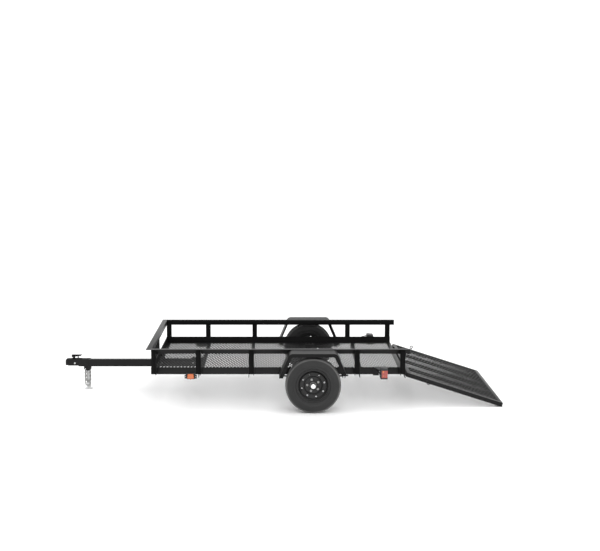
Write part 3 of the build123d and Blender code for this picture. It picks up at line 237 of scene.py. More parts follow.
def chain_finish():
    """Dull zinc on drawn wire, darker in patches where it has been handled."""
    finish = Finish("chain_zinc", metallic=1.0)
    handled = finish.noise(scale=90.0, detail=3.0)
    grain = finish.noise(scale=600.0, detail=1.0)
    finish.colour(finish.mix(handled.step(0.3, 0.7), grey(0.40), (0.23, 0.23, 0.22)))
    finish.rough(0.42 + grain * 0.16)
    finish.relief(grain, depth=0.00004)
    return finish.material


def weld_finish():
    """Painted weld metal: the coat lies thick on the ripples, with a few pin holes."""
    finish = Finish("weld_paint", ior=1.5, specular_ior_level=0.3)
    spatter = finish.noise(scale=420.0, detail=3.0)
    cloud = finish.noise(scale=6.0, detail=2.0)
    finish.colour(finish.mix(cloud, grey(0.005), grey(0.010)))
    finish.rough(0.30 + spatter * 0.2)
    finish.relief(spatter, depth=0.0003)
    return finish.material


def rubber_finish():
    """Matt black rubber of valve stems and grommets."""
    finish = Finish("stem_rubber", ior=1.5, specular_ior_level=0.3)
    grain = finish.noise(scale=1200.0, detail=1.0)
    finish.colour(finish.mix(grain, grey(0.010), grey(0.018)))
    finish.rough(0.6 + grain * 0.1)
    finish.relief(grain, depth=0.00003)
    return finish.material


def cap_finish():
    """Polished steel cap with faint drawing marks."""
    finish = Finish("cap_plating", metallic=1.0)
    marks = finish.noise(scale=120.0, detail=3.0, stretch=(1, 6, 1))
    finish.colour(finish.mix(marks, grey(0.86), (0.74, 0.74, 0.75)))
    finish.rough(0.10 + marks * 0.10)
    finish.relief(marks, depth=0.00002)
    return finish.material


def lamp_plastic_finish():
    """Moulded black plastic with a spark-eroded grain."""
    finish = Finish("lamp_plastic", ior=1.46)
    grain = finish.noise(scale=1500.0, detail=1.0)
    cloud = finish.noise(scale=30.0, detail=2.0)
    finish.colour(finish.mix(cloud, (0.010, 0.010, 0.011), (0.022, 0.022, 0.023)))
    finish.rough(0.42 + grain * 0.14)
    finish.relief(grain, depth=0.00005)
    return finish.material


LENS_RIBS = 1050.0  # radians of rib pattern in a metre of height


def lens_finish(name, deep, bright):
    """Clear coloured lens over fine level ribs that darken and lighten it."""
    coat = {"coat_weight": 0.6, "coat_roughness": 0.06}
    finish = Finish(name, ior=1.49, subsurface_weight=0.25, subsurface_scale=0.004, **coat)
    ribs = finish.maths("SINE", finish.axis("Z") * LENS_RIBS)
    fleck = finish.noise(scale=220.0, detail=2.0)
    finish.colour(finish.mix((ribs * 0.25 + fleck * 0.5 + 0.25).step(0.0, 1.0), deep, bright))
    finish.rough(0.16 + fleck * 0.08)
    finish.relief(ribs, depth=0.0002, strength=0.6)
    return finish.material


def floor_finish():
    """Matt pale studio floor, with a slight change in tone."""
    finish = Finish("studio_floor", specular_ior_level=0.0)
    shade = finish.noise(scale=0.7, detail=2.0)
    finish.colour(finish.mix(shade, grey(0.975), grey(0.985)))
    finish.rough(0.9 + shade * 0.05)
    return finish.material


FINISHES = {
    "frame_paint": powder_coat("frame_paint", grey(0.004), grey(0.007), rough=0.40),
    "mesh_paint": powder_coat("mesh_paint", grey(0.005), grey(0.009), rough=0.46),
    "wheel_paint": powder_coat("wheel_paint", grey(0.009), grey(0.015), rough=0.32, shine=0.27),
    "fender_paint": powder_coat("fender_paint", grey(0.006), grey(0.009), rough=0.42, shine=0.09),
    # painted shade: a darker, duller copy of the frame paint
    "frame_paint_painted_shade": powder_coat("frame_paint_painted_shade", grey(0.003), grey(0.005), rough=0.50, shine=0.07),
    "tyre_rubber": tyre_finish(),
    "cap_plating": cap_finish(),
    "zinc_plating": zinc_finish(),
    "chain_zinc": chain_finish(),
    "weld_paint": weld_finish(),
    "stem_rubber": rubber_finish(),
    "lamp_plastic": lamp_plastic_finish(),
    "amber_lens": lens_finish("amber_lens", (0.38, 0.068, 0.014), (0.65, 0.18, 0.042)),
    "red_lens": lens_finish("red_lens", (0.23, 0.026, 0.020), (0.37, 0.062, 0.046)),
}

NODE_FINISHES = {
    "mesh_paint": ("floor_mesh", "ramp_mesh"),
    "wheel_paint": ("wheel_left", "wheel_right"),
    "tyre_rubber": ("tyre_left", "tyre_right"),
    "cap_plating": ("grease_cap_left", "grease_cap_right"),
    "zinc_plating": ("safety_chains", "drop_leg"),
    "fender_paint": ("fender_left", "fender_right"),
    "chain_zinc": ("hub_left", "hub_right"),
    # painted shade: the far top rail, far frame side, the posts on both sides and the coupler's
    # latch take the darker copy of the frame paint
    "frame_paint_painted_shade": (
        "top_rail_right",
        "posts_right",
        "posts_left",
        "frame_side_right",
        "coupler_latch",
    ),
    "lamp_plastic": ("marker_housings", "tail_lamp_housings"),
    "amber_lens": ("marker_lenses",),
    "red_lens": ("tail_lamp_lenses",),
}


def node_look(node):
    """The finish that a node's list gives it, or else frame paint."""
    return next((look for look, nodes in NODE_FINISHES.items() if node in nodes), "frame_paint")


def dress_nodes():
    """Gives every CAD node its finish; what no list names is frame paint."""
    for name, thing in frame["nodes"].items():
        for slot in thing.material_slots:
            slot.material = FINISHES[node_look(name)]


def finish_piece(name, mesh_maker, body, look, replaces=(), smooth=False):
    """Turns a bmesh into a named piece that rides on a body."""
    bmesh.ops.recalc_face_normals(mesh_maker, faces=mesh_maker.faces)
    mesh = bpy.data.meshes.new(name)
    mesh_maker.to_mesh(mesh)
    mesh_maker.free()
    mesh.materials.append(FINISHES[look])
    if smooth:
        mesh.shade_smooth()
        mesh.set_sharp_from_angle(angle=math.radians(smooth))
    piece = bpy.data.objects.new(name, mesh)
    bpy.context.collection.objects.link(piece)
    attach(piece, body)
    if replaces:
        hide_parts(*replaces)
    return piece


def draw_out(maker, faces, step):
    """Extrudes faces by a step and returns the new end faces.

    A lone face stays as the near end; a face on a body goes, so that nothing is left inside.
    """
    inner = [face for face in faces if all(len(edge.link_faces) > 1 for edge in face.edges)]
    grown = bmesh.ops.extrude_face_region(maker, geom=faces, use_keep_orig=False)["geom"]
    ends = [part for part in grown if isinstance(part, bmesh.types.BMFace)]
    corners = [part for part in grown if isinstance(part, bmesh.types.BMVert)]
    bmesh.ops.delete(maker, geom=[face for face in inner if face.is_valid], context="FACES")
    bmesh.ops.translate(maker, vec=step, verts=corners)
    return ends


def spin_round(maker, geom, axis, steps):
    """Sweeps geometry once round an axis through the origin and joins its ends."""
    whole = {"cent": (0, 0, 0), "angle": math.tau, "use_merge": True}
    bmesh.ops.spin(maker, geom=geom, axis=axis, steps=steps, **whole)


def roll_edges(maker, edges, edge_radius, **options):
    """Rounds edges off with two facets."""
    round_form = {"segments": 2, "profile": 0.5, "affect": "EDGES", "material": -1}
    bmesh.ops.bevel(maker, geom=edges, offset=edge_radius, **round_form, **options)


def join(maker, part):
    """Adds one bmesh to another and frees it."""
    mesh = bpy.data.meshes.new("part")
    part.to_mesh(mesh)
    part.free()
    maker.from_mesh(mesh)
    bpy.data.meshes.remove(mesh)


# ---- Expanded metal ----
SHORT_WAY = 0.0340
LONG_WAY = 0.0980
STRAND_WIDE = 0.0084
STRAND_THICK = 0.0052
STRAND_TILT = math.radians(45)
BOND_LENGTH = 0.016
# The gate's sheet: its ends down the ramp from the hinge, its half width, and its place off
# the ramp's plane through the hinge
GATE_MESH_START = 0.035
GATE_MESH_END = 0.980
GATE_MESH_HALF = 0.695
GATE_MESH_OFF = -0.006


def expanded_metal(name, corner, along, length, width, body, replaces):
    """A raised expanded-metal sheet from its first corner.

    The short way of its openings runs along the given direction, and the long way along Y.
    """
    rows = round(length / SHORT_WAY)
    columns = round(width / LONG_WAY)
    short_way, long_way = length / rows, width / columns
    lean = STRAND_WIDE * math.cos(STRAND_TILT) / 2
    drop = STRAND_WIDE * math.sin(STRAND_TILT) / 2
    slant = long_way / 2 - BOND_LENGTH
    bond = Vector((0, BOND_LENGTH, 0))
    maker = bmesh.new()
    for strand in (0, 1):
        near = Vector((short_way * strand / 2 + lean, 0, drop))
        far = Vector((short_way * (strand + 1) / 2 - lean, 0, -drop))
        first, second = (near, far) if strand == 0 else (far, near)
        section = bmesh.ops.create_grid(maker, x_segments=1, y_segments=1, size=0.5)["verts"]
        bmesh.ops.scale(maker, verts=section, vec=(STRAND_WIDE, STRAND_THICK, 1))
        upright = Matrix.Rotation(math.radians(90), 4, X_AXIS)
        lay = Matrix.Translation(first) @ Matrix.Rotation(-STRAND_TILT, 4, Y_AXIS) @ upright
        bmesh.ops.transform(maker, verts=section, matrix=lay)
        away = second - first + Vector((0, slant, 0))
        back = first - second + Vector((0, slant, 0))
        steps = [bond / 2] + [away, bond, back, bond] * columns
        steps[-1] = bond / 2
        ends = section[0].link_faces[:]
        for step in steps:
            ends = draw_out(maker, ends, step)
    turn = Matrix((along, Y_AXIS, along.cross(Y_AXIS))).transposed().to_4x4()
    bmesh.ops.transform(maker, verts=maker.verts, matrix=Matrix.Translation(corner) @ turn)
    sheet = finish_piece(name, maker, body, "mesh_paint", replaces)
    repeat = sheet.modifiers.new("rows", "ARRAY")
    repeat.use_relative_offset = False
    repeat.use_constant_offset = True
    repeat.constant_offset_displace = along * short_way
    repeat.count = rows
    return sheet


# ---- Tyres ----
TYRE_STEPS = 144
ZIGZAG = 0.0015
GROOVES_DEEP = 0.008  # what lies deeper keeps straight edges
NOTCH_DEPTH = 0.0022
NOTCH_EVERY = 3  # steps
NOTCH_OUT = 0.049  # from the tread's middle
NOTCH_REACH = 0.011  # down the shoulder
# Half of the tyre's section from its middle to the bead and back along its inner wall
TYRE_SECTION = (
    # drop below the tread radius, distance from the middle, shifts with the zigzag
    (0.0000, 0.0000, False),
    (0.0001, 0.0085, True),
    (0.0060, 0.0095, True),
    (0.0060, 0.0125, True),
    (0.0004, 0.0135, True),
    (0.0013, 0.0285, True),
    (0.0070, 0.0295, True),
    (0.0070, 0.0325, True),
    (0.0016, 0.0335, True),
    (0.0040, 0.0485, False),
    (0.0080, 0.0525, False),
    (0.0130, 0.0550, False),
    (0.0210, 0.0574, False),
    (0.0300, 0.0589, False),
    (0.0315, 0.0586, False),
    (0.0400, 0.0597, False),
    (0.0520, 0.0598, False),
    (0.0650, 0.0586, False),
    (0.0664, 0.0594, False),
    (0.0690, 0.0592, False),
    (0.0704, 0.0580, False),
    (0.0850, 0.0550, False),
    (0.0930, 0.0530, False),
    (0.0960, 0.0534, False),
    (0.0990, 0.0520, False),
    (0.1000, 0.0510, False),
    (0.1030, 0.0477, False),
    (0.1157, 0.0477, False),
    (0.1157, 0.0340, False),
    (0.0520, 0.0515, False),
    (0.0190, 0.0515, False),
    (0.0120, 0.0395, False),
)


def tyre(name, side):
    """A tyre with zigzag grooves and a notched shoulder, in place of the plain one."""
    low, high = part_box(f"tyre_{side}")
    middle = (low + high) / 2
    maker = bmesh.new()
    half = [(TYRE_RADIUS - drop, away, zigzag) for drop, away, zigzag in TYRE_SECTION]
    mirrored = [(radius, -away, zigzag) for radius, away, zigzag in reversed(half[1:])]
    points = half + mirrored
    corners = [maker.verts.new((radius, away, 0)) for radius, away, _ in points]
    ring = [maker.edges.new(pair) for pair in zip(corners, corners[1:] + corners[:1])]
    grooved = {round(away, 5) for _, away, zigzag in points if zigzag}
    spin_round(maker, corners + ring, Y_AXIS, TYRE_STEPS)
    pitch = math.tau / TYRE_STEPS
    for corner in maker.verts:
        radius = math.hypot(corner.co.x, corner.co.z)
        if round(corner.co.y, 5) in grooved and radius > TYRE_RADIUS - GROOVES_DEEP:
            turn = round(math.atan2(corner.co.z, corner.co.x) / pitch)
            corner.co.y += ZIGZAG if turn % 2 else -ZIGZAG
    notches = []
    for face in maker.faces:
        heart = face.calc_center_median()
        turn = math.atan2(heart.z, heart.x) / pitch
        high = math.hypot(heart.x, heart.z) > TYRE_RADIUS - NOTCH_REACH
        if high and abs(heart.y) > NOTCH_OUT and math.floor(turn) % NOTCH_EVERY == 0:
            notches.append(face)
    floors = draw_out(maker, notches, Vector())
    for corner in {corner for face in floors for corner in face.verts}:
        radius = math.hypot(corner.co.x, corner.co.z)
        corner.co.x *= 1 - NOTCH_DEPTH / radius
        corner.co.z *= 1 - NOTCH_DEPTH / radius
    bmesh.ops.translate(maker, verts=maker.verts, vec=middle)
    return finish_piece(name, maker, f"wheel_{side}", "tyre_rubber", [f"tyre_{side}"], smooth=32)


# ---- Safety chains: each hangs as a loop from its bracket cheek's two eyes ----
LINK_WIRE = 0.0055
LINK_INSIDE = 0.019
LINK_OPENING = 0.008
LINK_GAP = 0.0003
LOOP_TURN = 45.0
CHEEK_SPREAD = 0.024
EYE_RADIUS = 0.008
EYE_HALF_FACET = math.radians(22.5)  # an eye has eight flats
EYE_ABOVE_EDGE = 0.014
CHAIN_LOOPS = (
    # cheek, links on one side
    (-1, 8),
    (1, 6),
)


def chain_places(cheek, links):
    """Each link's middle, heading and flat side; it turns about the crown of the one before."""
    in_plane = LINK_INSIDE - LINK_WIRE - 2 * LINK_GAP
    across_plane = LINK_INSIDE + LINK_WIRE
    low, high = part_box("chain_bracket")
    sill = low.z + EYE_ABOVE_EDGE - EYE_RADIUS * math.cos(EYE_HALF_FACET)
    rest = sill + LINK_WIRE / 2 + LINK_GAP
    width = in_plane + 2 * across_plane * math.cos(math.radians(LOOP_TURN))
    pivot = Vector(((low.x + high.x) / 2 - width / 2, cheek * CHEEK_SPREAD / 2, rest))
    headings = [-90.0] * links + [-LOOP_TURN, 0.0, LOOP_TURN] + [90.0] * links
    for count, heading in enumerate(headings):
        across = count % 2 == 0
        step = across_plane if across else in_plane
        ahead = Vector((math.cos(math.radians(heading)), 0, math.sin(math.radians(heading))))
        normal = Y_AXIS.cross(ahead) if across else Y_AXIS
        yield pivot + ahead * (step / 2), ahead, normal
        pivot = pivot + ahead * step


def link_mesh():
    """One link: round wire in a long ring, welded at the middle of one side."""
    maker = bmesh.new()
    crown = LINK_OPENING / 2 + LINK_WIRE / 2
    straight = LINK_INSIDE / 2 - LINK_OPENING / 2
    wire = bmesh.ops.create_circle(maker, segments=8, radius=LINK_WIRE / 2)["verts"]
    lay = Matrix.Translation((-straight, crown, 0)) @ Matrix.Rotation(math.radians(90), 4, Y_AXIS)
    bmesh.ops.transform(maker, verts=wire, matrix=lay)
    ends = list({edge for corner in wire for edge in corner.link_edges})
    for turn_at in (straight, -straight):
        grown = bmesh.ops.extrude_edge_only(maker, edges=ends)["geom"]
        corners = [part for part in grown if isinstance(part, bmesh.types.BMVert)]
        bmesh.ops.translate(maker, verts=corners, vec=(2 * turn_at, 0, 0))
        edges = [part for part in grown if isinstance(part, bmesh.types.BMEdge)]
        ends = [edge for edge in edges if len(edge.link_faces) < 2]
        bent = bmesh.ops.spin(
            maker, geom=corners + ends, axis=-Z_AXIS, cent=(turn_at, 0, 0), angle=math.pi, steps=6
        )["geom_last"]
        ends = [part for part in bent if isinstance(part, bmesh.types.BMEdge)]
    bmesh.ops.remove_doubles(maker, verts=maker.verts, dist=SAME_CORNER)
    bmesh.ops.recalc_face_normals(maker, faces=maker.faces)
    mesh = bpy.data.meshes.new("link")
    maker.to_mesh(mesh)
    maker.free()
    return mesh


def chains():
    """Both loops' links as one piece."""
    link = link_mesh()
    maker = bmesh.new()
    for cheek, links in CHAIN_LOOPS:
        for middle, ahead, normal in chain_places(cheek, links):
            known = set(maker.verts)
            maker.from_mesh(link)
            fresh = [corner for corner in maker.verts if corner not in known]
            turn = Matrix((ahead, normal.cross(ahead), normal)).transposed().to_4x4()
            bmesh.ops.transform(maker, verts=fresh, matrix=Matrix.Translation(middle) @ turn)
    replaces = ["safety_chains"]
    return finish_piece("chain_links", maker, "chassis", "chain_zinc", replaces, smooth=60)


# ---- Steel and mouldings with rolled edges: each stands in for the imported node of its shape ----
ROUNDED_NODES = (
    # nodes, edge radius
    (("frame_front", "frame_side_left", "frame_side_right", "rear_sill", "cross_members"), 0.0014),
    (("posts_left", "posts_right", "post_front"), 0.0014),
    (("top_rail_front", "top_rail_left", "top_rail_right"), 0.0014),
    (("tongue_brackets", "chain_bracket", "spring_hangers"), 0.0010),
    (("spring_clamps", "lamp_brackets"), 0.0010),
    (("ramp_rail_left", "ramp_rail_right", "ramp_rail_heel"), 0.0012),
    (("ramp_rail_tip", "ramp_bars"), 0.0012),
    (("coupler", "coupler_latch", "ramp_latches", "leg_sleeve", "drop_leg"), 0.0012),
    (("hub_left", "hub_right", "spring_left", "spring_right"), 0.0007),
    (("marker_housings", "tail_lamp_housings"), 0.0020),
    (("marker_lenses", "tail_lamp_lenses"), 0.0030),
)
SHARP_EDGE = math.radians(33)
SAME_FACE = math.radians(0.5)


def rounded(node, edge_radius):
    """The node's own shape with its sharp edges rolled."""
    maker = bmesh.new()
    maker.from_mesh(frame["nodes"][node].data)
    bmesh.ops.remove_doubles(maker, verts=maker.verts, dist=SAME_CORNER)
    bmesh.ops.dissolve_limit(maker, angle_limit=SAME_FACE, verts=maker.verts, edges=maker.edges)
    creases = [edge for edge in maker.edges if len(edge.link_faces) == 2]
    sharp = [edge for edge in creases if edge.calc_face_angle() > SHARP_EDGE]
    roll_edges(maker, sharp, edge_radius, clamp_overlap=True)
    return finish_piece(f"{node}_shape", maker, BODY_OF[node], node_look(node), [node], smooth=40)


# ---- Bolts, nuts and welds ----
def turned(maker, radius, low, high, sides, top=None):
    """A disc or a hexagon about local Z; a smaller top radius makes it a cone."""
    top = radius if top is None else top
    made = bmesh.ops.create_cone(
        maker, cap_ends=True, segments=sides, radius1=radius, radius2=top, depth=high - low
    )["verts"]
    bmesh.ops.translate(maker, verts=made, vec=(0, 0, (low + high) / 2))
    return made


def put(maker, corners, place, facing):
    """Moves corners from the origin to a place, with their local Z along the given direction."""
    turn = Vector(facing).to_track_quat("Z", "Y").to_matrix().to_4x4()
    bmesh.ops.transform(maker, verts=corners, matrix=Matrix.Translation(place) @ turn)


# Sizes of a hexagon head, its washer and its stud, as shares of the width across its flats
HEAD_HEIGHT = 0.55
HEAD_TOP = 0.48
WASHER_RADIUS = 0.68
WASHER_THICK = 0.12
STUD_RADIUS = 0.30
STUD_TOP = 0.24
HEAD_SHOULDER = 0.85  # of the head's height, where its chamfer begins
STUD_SHOULDER = 0.80  # of the stud's end, where its chamfer begins


def hex_head(maker, place, facing, across, stud=0.0):
    """A chamfered hexagon on a round washer, with a stud's end through it where one is given."""
    height = across * HEAD_HEIGHT
    shoulder = height * HEAD_SHOULDER
    washer = across * WASHER_THICK
    to_corner = across / math.sqrt(3)
    corners = turned(maker, across * WASHER_RADIUS, 0, washer, 20)
    corners += turned(maker, to_corner, washer, shoulder, 6)
    corners += turned(maker, to_corner, shoulder, height, 6, across * HEAD_TOP)
    if stud:
        chamfer, tip = height + stud * STUD_SHOULDER, height + stud
        corners += turned(maker, across * STUD_RADIUS, 0, chamfer, 12)
        corners += turned(maker, across * STUD_RADIUS, chamfer, tip, 12, across * STUD_TOP)
    put(maker, corners, place, facing)


SPRING_MIDDLE = 0.745  # out from the trailer's middle
SPRING_SIDE = 0.0275  # a hanger's face or a clamp's rod, from the spring's middle
SPRING_REACH = 0.3000  # either hanger's bolt from the axle
SPRING_BOLT_Z = 0.319
SLIPPER_BOLT_Z = 0.3092
TONGUE_FACE = 0.0314
TONGUE_BOLT_Z = 0.2870
BOLTS = (
    # along, out from the middle, height, facing out or in, across flats, stud's end
    (-1.2056, TONGUE_FACE, TONGUE_BOLT_Z, 1, 0.019, 0.0),
    (-0.8755, TONGUE_FACE, TONGUE_BOLT_Z, 1, 0.019, 0.0),
    (-0.8000, TONGUE_FACE, TONGUE_BOLT_Z, 1, 0.019, 0.0),
    (-2.0930, 0.0319, 0.2850, 1, 0.013, 0.0),
    (AXLE.x - SPRING_REACH, SPRING_MIDDLE + SPRING_SIDE, SPRING_BOLT_Z, 1, 0.017, 0.0),
    (AXLE.x + SPRING_REACH, SPRING_MIDDLE + SPRING_SIDE, SLIPPER_BOLT_Z, 1, 0.015, 0.0),
    (AXLE.x - SPRING_REACH, SPRING_MIDDLE - SPRING_SIDE, SPRING_BOLT_Z, -1, 0.017, 0.006),
    (AXLE.x + SPRING_REACH, SPRING_MIDDLE - SPRING_SIDE, SLIPPER_BOLT_Z, -1, 0.015, 0.006),
)
# Nuts under the axle's clamps
CLAMP_ROD_AHEAD = 0.0255
CLAMP_PLATE_Z = 0.2410
CLAMP_NUT, CLAMP_STUD = 0.016, 0.008
# Nuts on the front of each lamp bracket, two by two
BRACKET_FACE = 0.9776
BRACKET_NUTS_OUT = (0.812, 0.866)
BRACKET_NUTS_Z = (0.350, 0.384)
BRACKET_NUT, BRACKET_STUD = 0.010, 0.004


def frame_bolts():
    """Zinc bolts and nuts of the tongue, coupler, hangers, axle clamps and lamp brackets."""
    maker = bmesh.new()
    for _, side in SIDES:
        for along, out, high, facing, across, stud in BOLTS:
            hex_head(maker, (along, side * out, high), (0, side * facing, 0), across, stud)
    for ahead in (-CLAMP_ROD_AHEAD, CLAMP_ROD_AHEAD):
        for out in (-SPRING_SIDE, SPRING_SIDE):
            for _, side in SIDES:
                place = (AXLE.x + ahead, side * (SPRING_MIDDLE + out), CLAMP_PLATE_Z)
                hex_head(maker, place, (0, 0, -1), CLAMP_NUT, CLAMP_STUD)
    for out in BRACKET_NUTS_OUT:
        for high in BRACKET_NUTS_Z:
            for _, side in SIDES:
                place = (BRACKET_FACE, side * out, high)
                hex_head(maker, place, (-1, 0, 0), BRACKET_NUT, BRACKET_STUD)
    return finish_piece("frame_bolts", maker, "chassis", "zinc_plating", smooth=35)


WELD_THICK = 0.0032
THIN_WELD = 0.0026
RIPPLE_STEP = 0.9  # of a ripple's radius


def weld(maker, start, end, thick=WELD_THICK):
    """A row of overlapping ripples from start to end."""
    start, end = Vector(start), Vector(end)
    count = max(2, round((end - start).length / (thick * RIPPLE_STEP)))
    row = bmesh.new()
    for step in range(count + 1):
        ripple = bmesh.ops.create_uvsphere(row, u_segments=8, v_segments=5, radius=thick)["verts"]
        bmesh.ops.translate(row, verts=ripple, vec=start.lerp(end, step / count))
    join(maker, row)


POST_PLACES = (-1.1960, -0.7658, -0.2548, 0.7650, 1.2032)
POST_HALF = 0.0254
POST_FOOT_OUT = 0.7705
POST_FOOT_Z = (0.342, 0.405)
POST_HEAD_OUT = 0.7950
POST_HEAD_Z = 0.5850
POST_HEAD_HALF = 0.022
CROSS_PLACES = ((0.7936, 0.8336), (0.2536, 0.2936), (-0.2844, -0.2444), (-0.7714, -0.7314))
CROSS_END_OUT = 0.7205
CROSS_UNDER_OUT = 0.7202
CROSS_UNDER_Z = 0.338
CROSS_TOP_Z = 0.342
CROSS_WELD_INSET = 0.004
THIN_WELDS = (
    # first end and last end, each along and out, and the height, of a seam at the tongue's clips,
    # one at the chain bracket and one on the tongue's top
    ((-0.8860, 0.0600), (-0.7800, 0.0600), 0.3375),
    ((-1.9980, 0.0140), (-1.9350, 0.0140), 0.2480),
    ((-1.2260, 0.0300), (-1.2260, 0.0050), 0.3385),
)


def frame_welds():
    """Fillet welds of the posts, cross-members, tongue, its clips and the chain bracket."""
    maker = bmesh.new()
    for _, side in SIDES:
        for middle in POST_PLACES:
            for seam in (middle - POST_HALF, middle + POST_HALF):
                low, high = POST_FOOT_Z
                weld(maker, (seam, side * POST_FOOT_OUT, low), (seam, side * POST_FOOT_OUT, high))
            first, last = middle - POST_HEAD_HALF, middle + POST_HEAD_HALF
            head = side * POST_HEAD_OUT
            weld(maker, (first, head, POST_HEAD_Z), (last, head, POST_HEAD_Z))
        for edges in CROSS_PLACES:
            for seam in edges:
                end = side * CROSS_END_OUT
                weld(maker, (seam, end, CROSS_UNDER_Z), (seam, end, CROSS_TOP_Z))
            first, last = edges[0] + CROSS_WELD_INSET, edges[1] - CROSS_WELD_INSET
            under = side * CROSS_UNDER_OUT
            weld(maker, (first, under, CROSS_UNDER_Z), (last, under, CROSS_UNDER_Z))
        for (first, first_out), (last, last_out), high in THIN_WELDS:
            weld(maker, (first, side * first_out, high), (last, side * last_out, high), THIN_WELD)
    return finish_piece("frame_welds", maker, "chassis", "weld_paint", smooth=80)


# ---- Small pieces of the wheels, springs and lamps ----
VALVE_RADIUS = 0.1160
VALVE_TURN = math.radians(200)
VALVE_OUT = 0.9300
VALVE_STEPS = (
    # radius, low, high, sides, radius at the top where it tapers
    (0.0075, 0.0000, 0.0040, 16, None),
    (0.0058, 0.0040, 0.0220, 16, 0.0040),
    (0.0048, 0.0220, 0.0310, 12, None),
    (0.0048, 0.0310, 0.0330, 12, 0.0034),
)


def valve_stem(name, side):
    """A rubber stem and its cap, through the wheel disc near its rim."""
    place = AXLE + Vector((math.cos(VALVE_TURN), 0, math.sin(VALVE_TURN))) * VALVE_RADIUS
    place.y = side * VALVE_OUT
    maker = bmesh.new()
    corners = []
    for step in VALVE_STEPS:
        corners += turned(maker, *step)
    put(maker, corners, place, (0, side, 0))
    return finish_piece(f"valve_stem_{name}", maker, f"wheel_{name}", "stem_rubber", smooth=35)


def cuboid(maker, middle, size):
    """A plain block; returns its corners."""
    made = bmesh.ops.create_cube(maker, size=1)["verts"]
    bmesh.ops.scale(maker, verts=made, vec=size)
    bmesh.ops.translate(maker, verts=made, vec=middle)
    return made


def block(maker, middle, size, edge_radius):
    """A small block with rounded edges."""
    corners = cuboid(maker, middle, size)
    edges = list({edge for corner in corners for edge in corner.link_edges})
    roll_edges(maker, edges, edge_radius)


SPRING_CLIPS = (
    # along, out and height of the middle; size; edge radius (so too in the next three tables)
    ((AXLE.x - 0.115, SPRING_MIDDLE, 0.3040), (0.022, 0.0500, 0.0225), 0.0020),
    ((AXLE.x + 0.115, SPRING_MIDDLE, 0.3040), (0.022, 0.0500, 0.0225), 0.0020),
)
# Two side windows of the tail lamp, and the nub under the marker
AMBER_WINDOWS = (
    ((1.0075, 0.8935, 0.3880), (0.012, 0.003, 0.020), 0.0012),
    ((1.0075, 0.8935, 0.3490), (0.012, 0.003, 0.010), 0.0012),
    ((-0.8414, 0.7890, 0.2930), (0.010, 0.010, 0.006), 0.0020),
)
MARKER_EARS = (
    ((-0.8914, 0.7738, 0.3150), (0.018, 0.0072, 0.036), 0.0015),
    ((-0.7914, 0.7738, 0.3150), (0.018, 0.0072, 0.036), 0.0015),
)
# The strip across the tail lens, and the lip of the hood over it
LENS_STRIPS = (
    ((1.0500, 0.8380, 0.3640), (0.0022, 0.1040, 0.0030), 0.0008),
    ((1.0205, 0.8380, 0.4010), (0.0550, 0.1080, 0.0030), 0.0012),
)


def paired_blocks(name, table, look):
    """The same rounded blocks on both sides of the trailer, as one piece."""
    maker = bmesh.new()
    for _, side in SIDES:
        for (along, out, high), size, edge_radius in table:
            block(maker, (along, side * out, high), size, edge_radius)
    return finish_piece(name, maker, "chassis", look, smooth=40)


SCREW_PLACES = (-0.8911, -0.7917)
SCREW_OUT = 0.7774
SCREW_Z = 0.3163
SCREW_STEPS = (
    # radius, low, high, sides, radius at the top where it tapers
    (0.0046, 0.0000, 0.0012, 16, None),
    (0.0046, 0.0012, 0.0026, 16, 0.0028),
)


def marker_screws():
    """Domed screws through the ears of the side markers."""
    maker = bmesh.new()
    for _, side in SIDES:
        for along in SCREW_PLACES:
            screw = []
            for step in SCREW_STEPS:
                screw += turned(maker, *step)
            put(maker, screw, (along, side * SCREW_OUT, SCREW_Z), (0, side, 0))
    return finish_piece("marker_screws", maker, "chassis", "zinc_plating", smooth=35)


TAIL_PANELS = (
    # middle, size: the face across the wheel and the skirt beside it
    ((0.6410, 0.8850, 0.3730), (0.0025, 0.2300, 0.0420)),
    ((0.6240, 0.9985, 0.3730), (0.0350, 0.0025, 0.0420)),
)
TAIL_TOP = 0.3940
TAIL_LEAN = 0.425  # rearward for each metre down


def fender_tail():
    """The far fender's rear leg, which reaches lower than its sheet's cut."""
    maker = bmesh.new()
    for middle, size in TAIL_PANELS:
        for corner in cuboid(maker, middle, size):
            corner.co.x += (TAIL_TOP - corner.co.z) * TAIL_LEAN
    return finish_piece("fender_tail", maker, "chassis", "fender_paint")


GUSSET_CORNERS = (
    # along, out, height
    (0.9816, 0.7750, 0.4150),
    (0.9200, 0.7750, 0.4110),
    (0.9816, 0.8900, 0.4020),
)
GUSSET_THICK = 0.0040


def gusset_plates():
    """Triangular plates between the frame's top edge and the tail lamps' hoods."""
    maker = bmesh.new()
    for _, side in SIDES:
        places = [(along, side * out, high) for along, out, high in GUSSET_CORNERS]
        face = maker.faces.new([maker.verts.new(place) for place in places])
        draw_out(maker, [face], Z_AXIS * -GUSSET_THICK)
    return finish_piece("gusset_plates", maker, "chassis", "frame_paint")


LEVER_MIDDLE_X = -2.0785
LEVER_MIDDLE_Z = 0.3550
SKIRT_SIZE = (0.0980, 0.0025, 0.0220)
SKIRT_OUT = 0.0118
SKIRT_TAPER = 0.0140
LEVER_PIN = (-2.1055, 0, 0.3505)
LEVER_PIN_RADIUS = 0.0045
LEVER_PIN_HALF = 0.0160


def lever_skirts():
    """Folded sides of the coupler's lever, deep over its pivot and shallow at its end."""
    maker = bmesh.new()
    for _, side in SIDES:
        middle = (LEVER_MIDDLE_X, side * SKIRT_OUT, LEVER_MIDDLE_Z)
        for corner in cuboid(maker, middle, SKIRT_SIZE):
            if corner.co.x > LEVER_MIDDLE_X and corner.co.z < LEVER_MIDDLE_Z:
                corner.co.z += SKIRT_TAPER
    pin = turned(maker, LEVER_PIN_RADIUS, -LEVER_PIN_HALF, LEVER_PIN_HALF, 14)
    put(maker, pin, LEVER_PIN, (0, 1, 0))
    # the sides take the painted-shade copy of the frame paint
    return finish_piece("lever_skirts", maker, "chassis", "frame_paint_painted_shade", smooth=40)


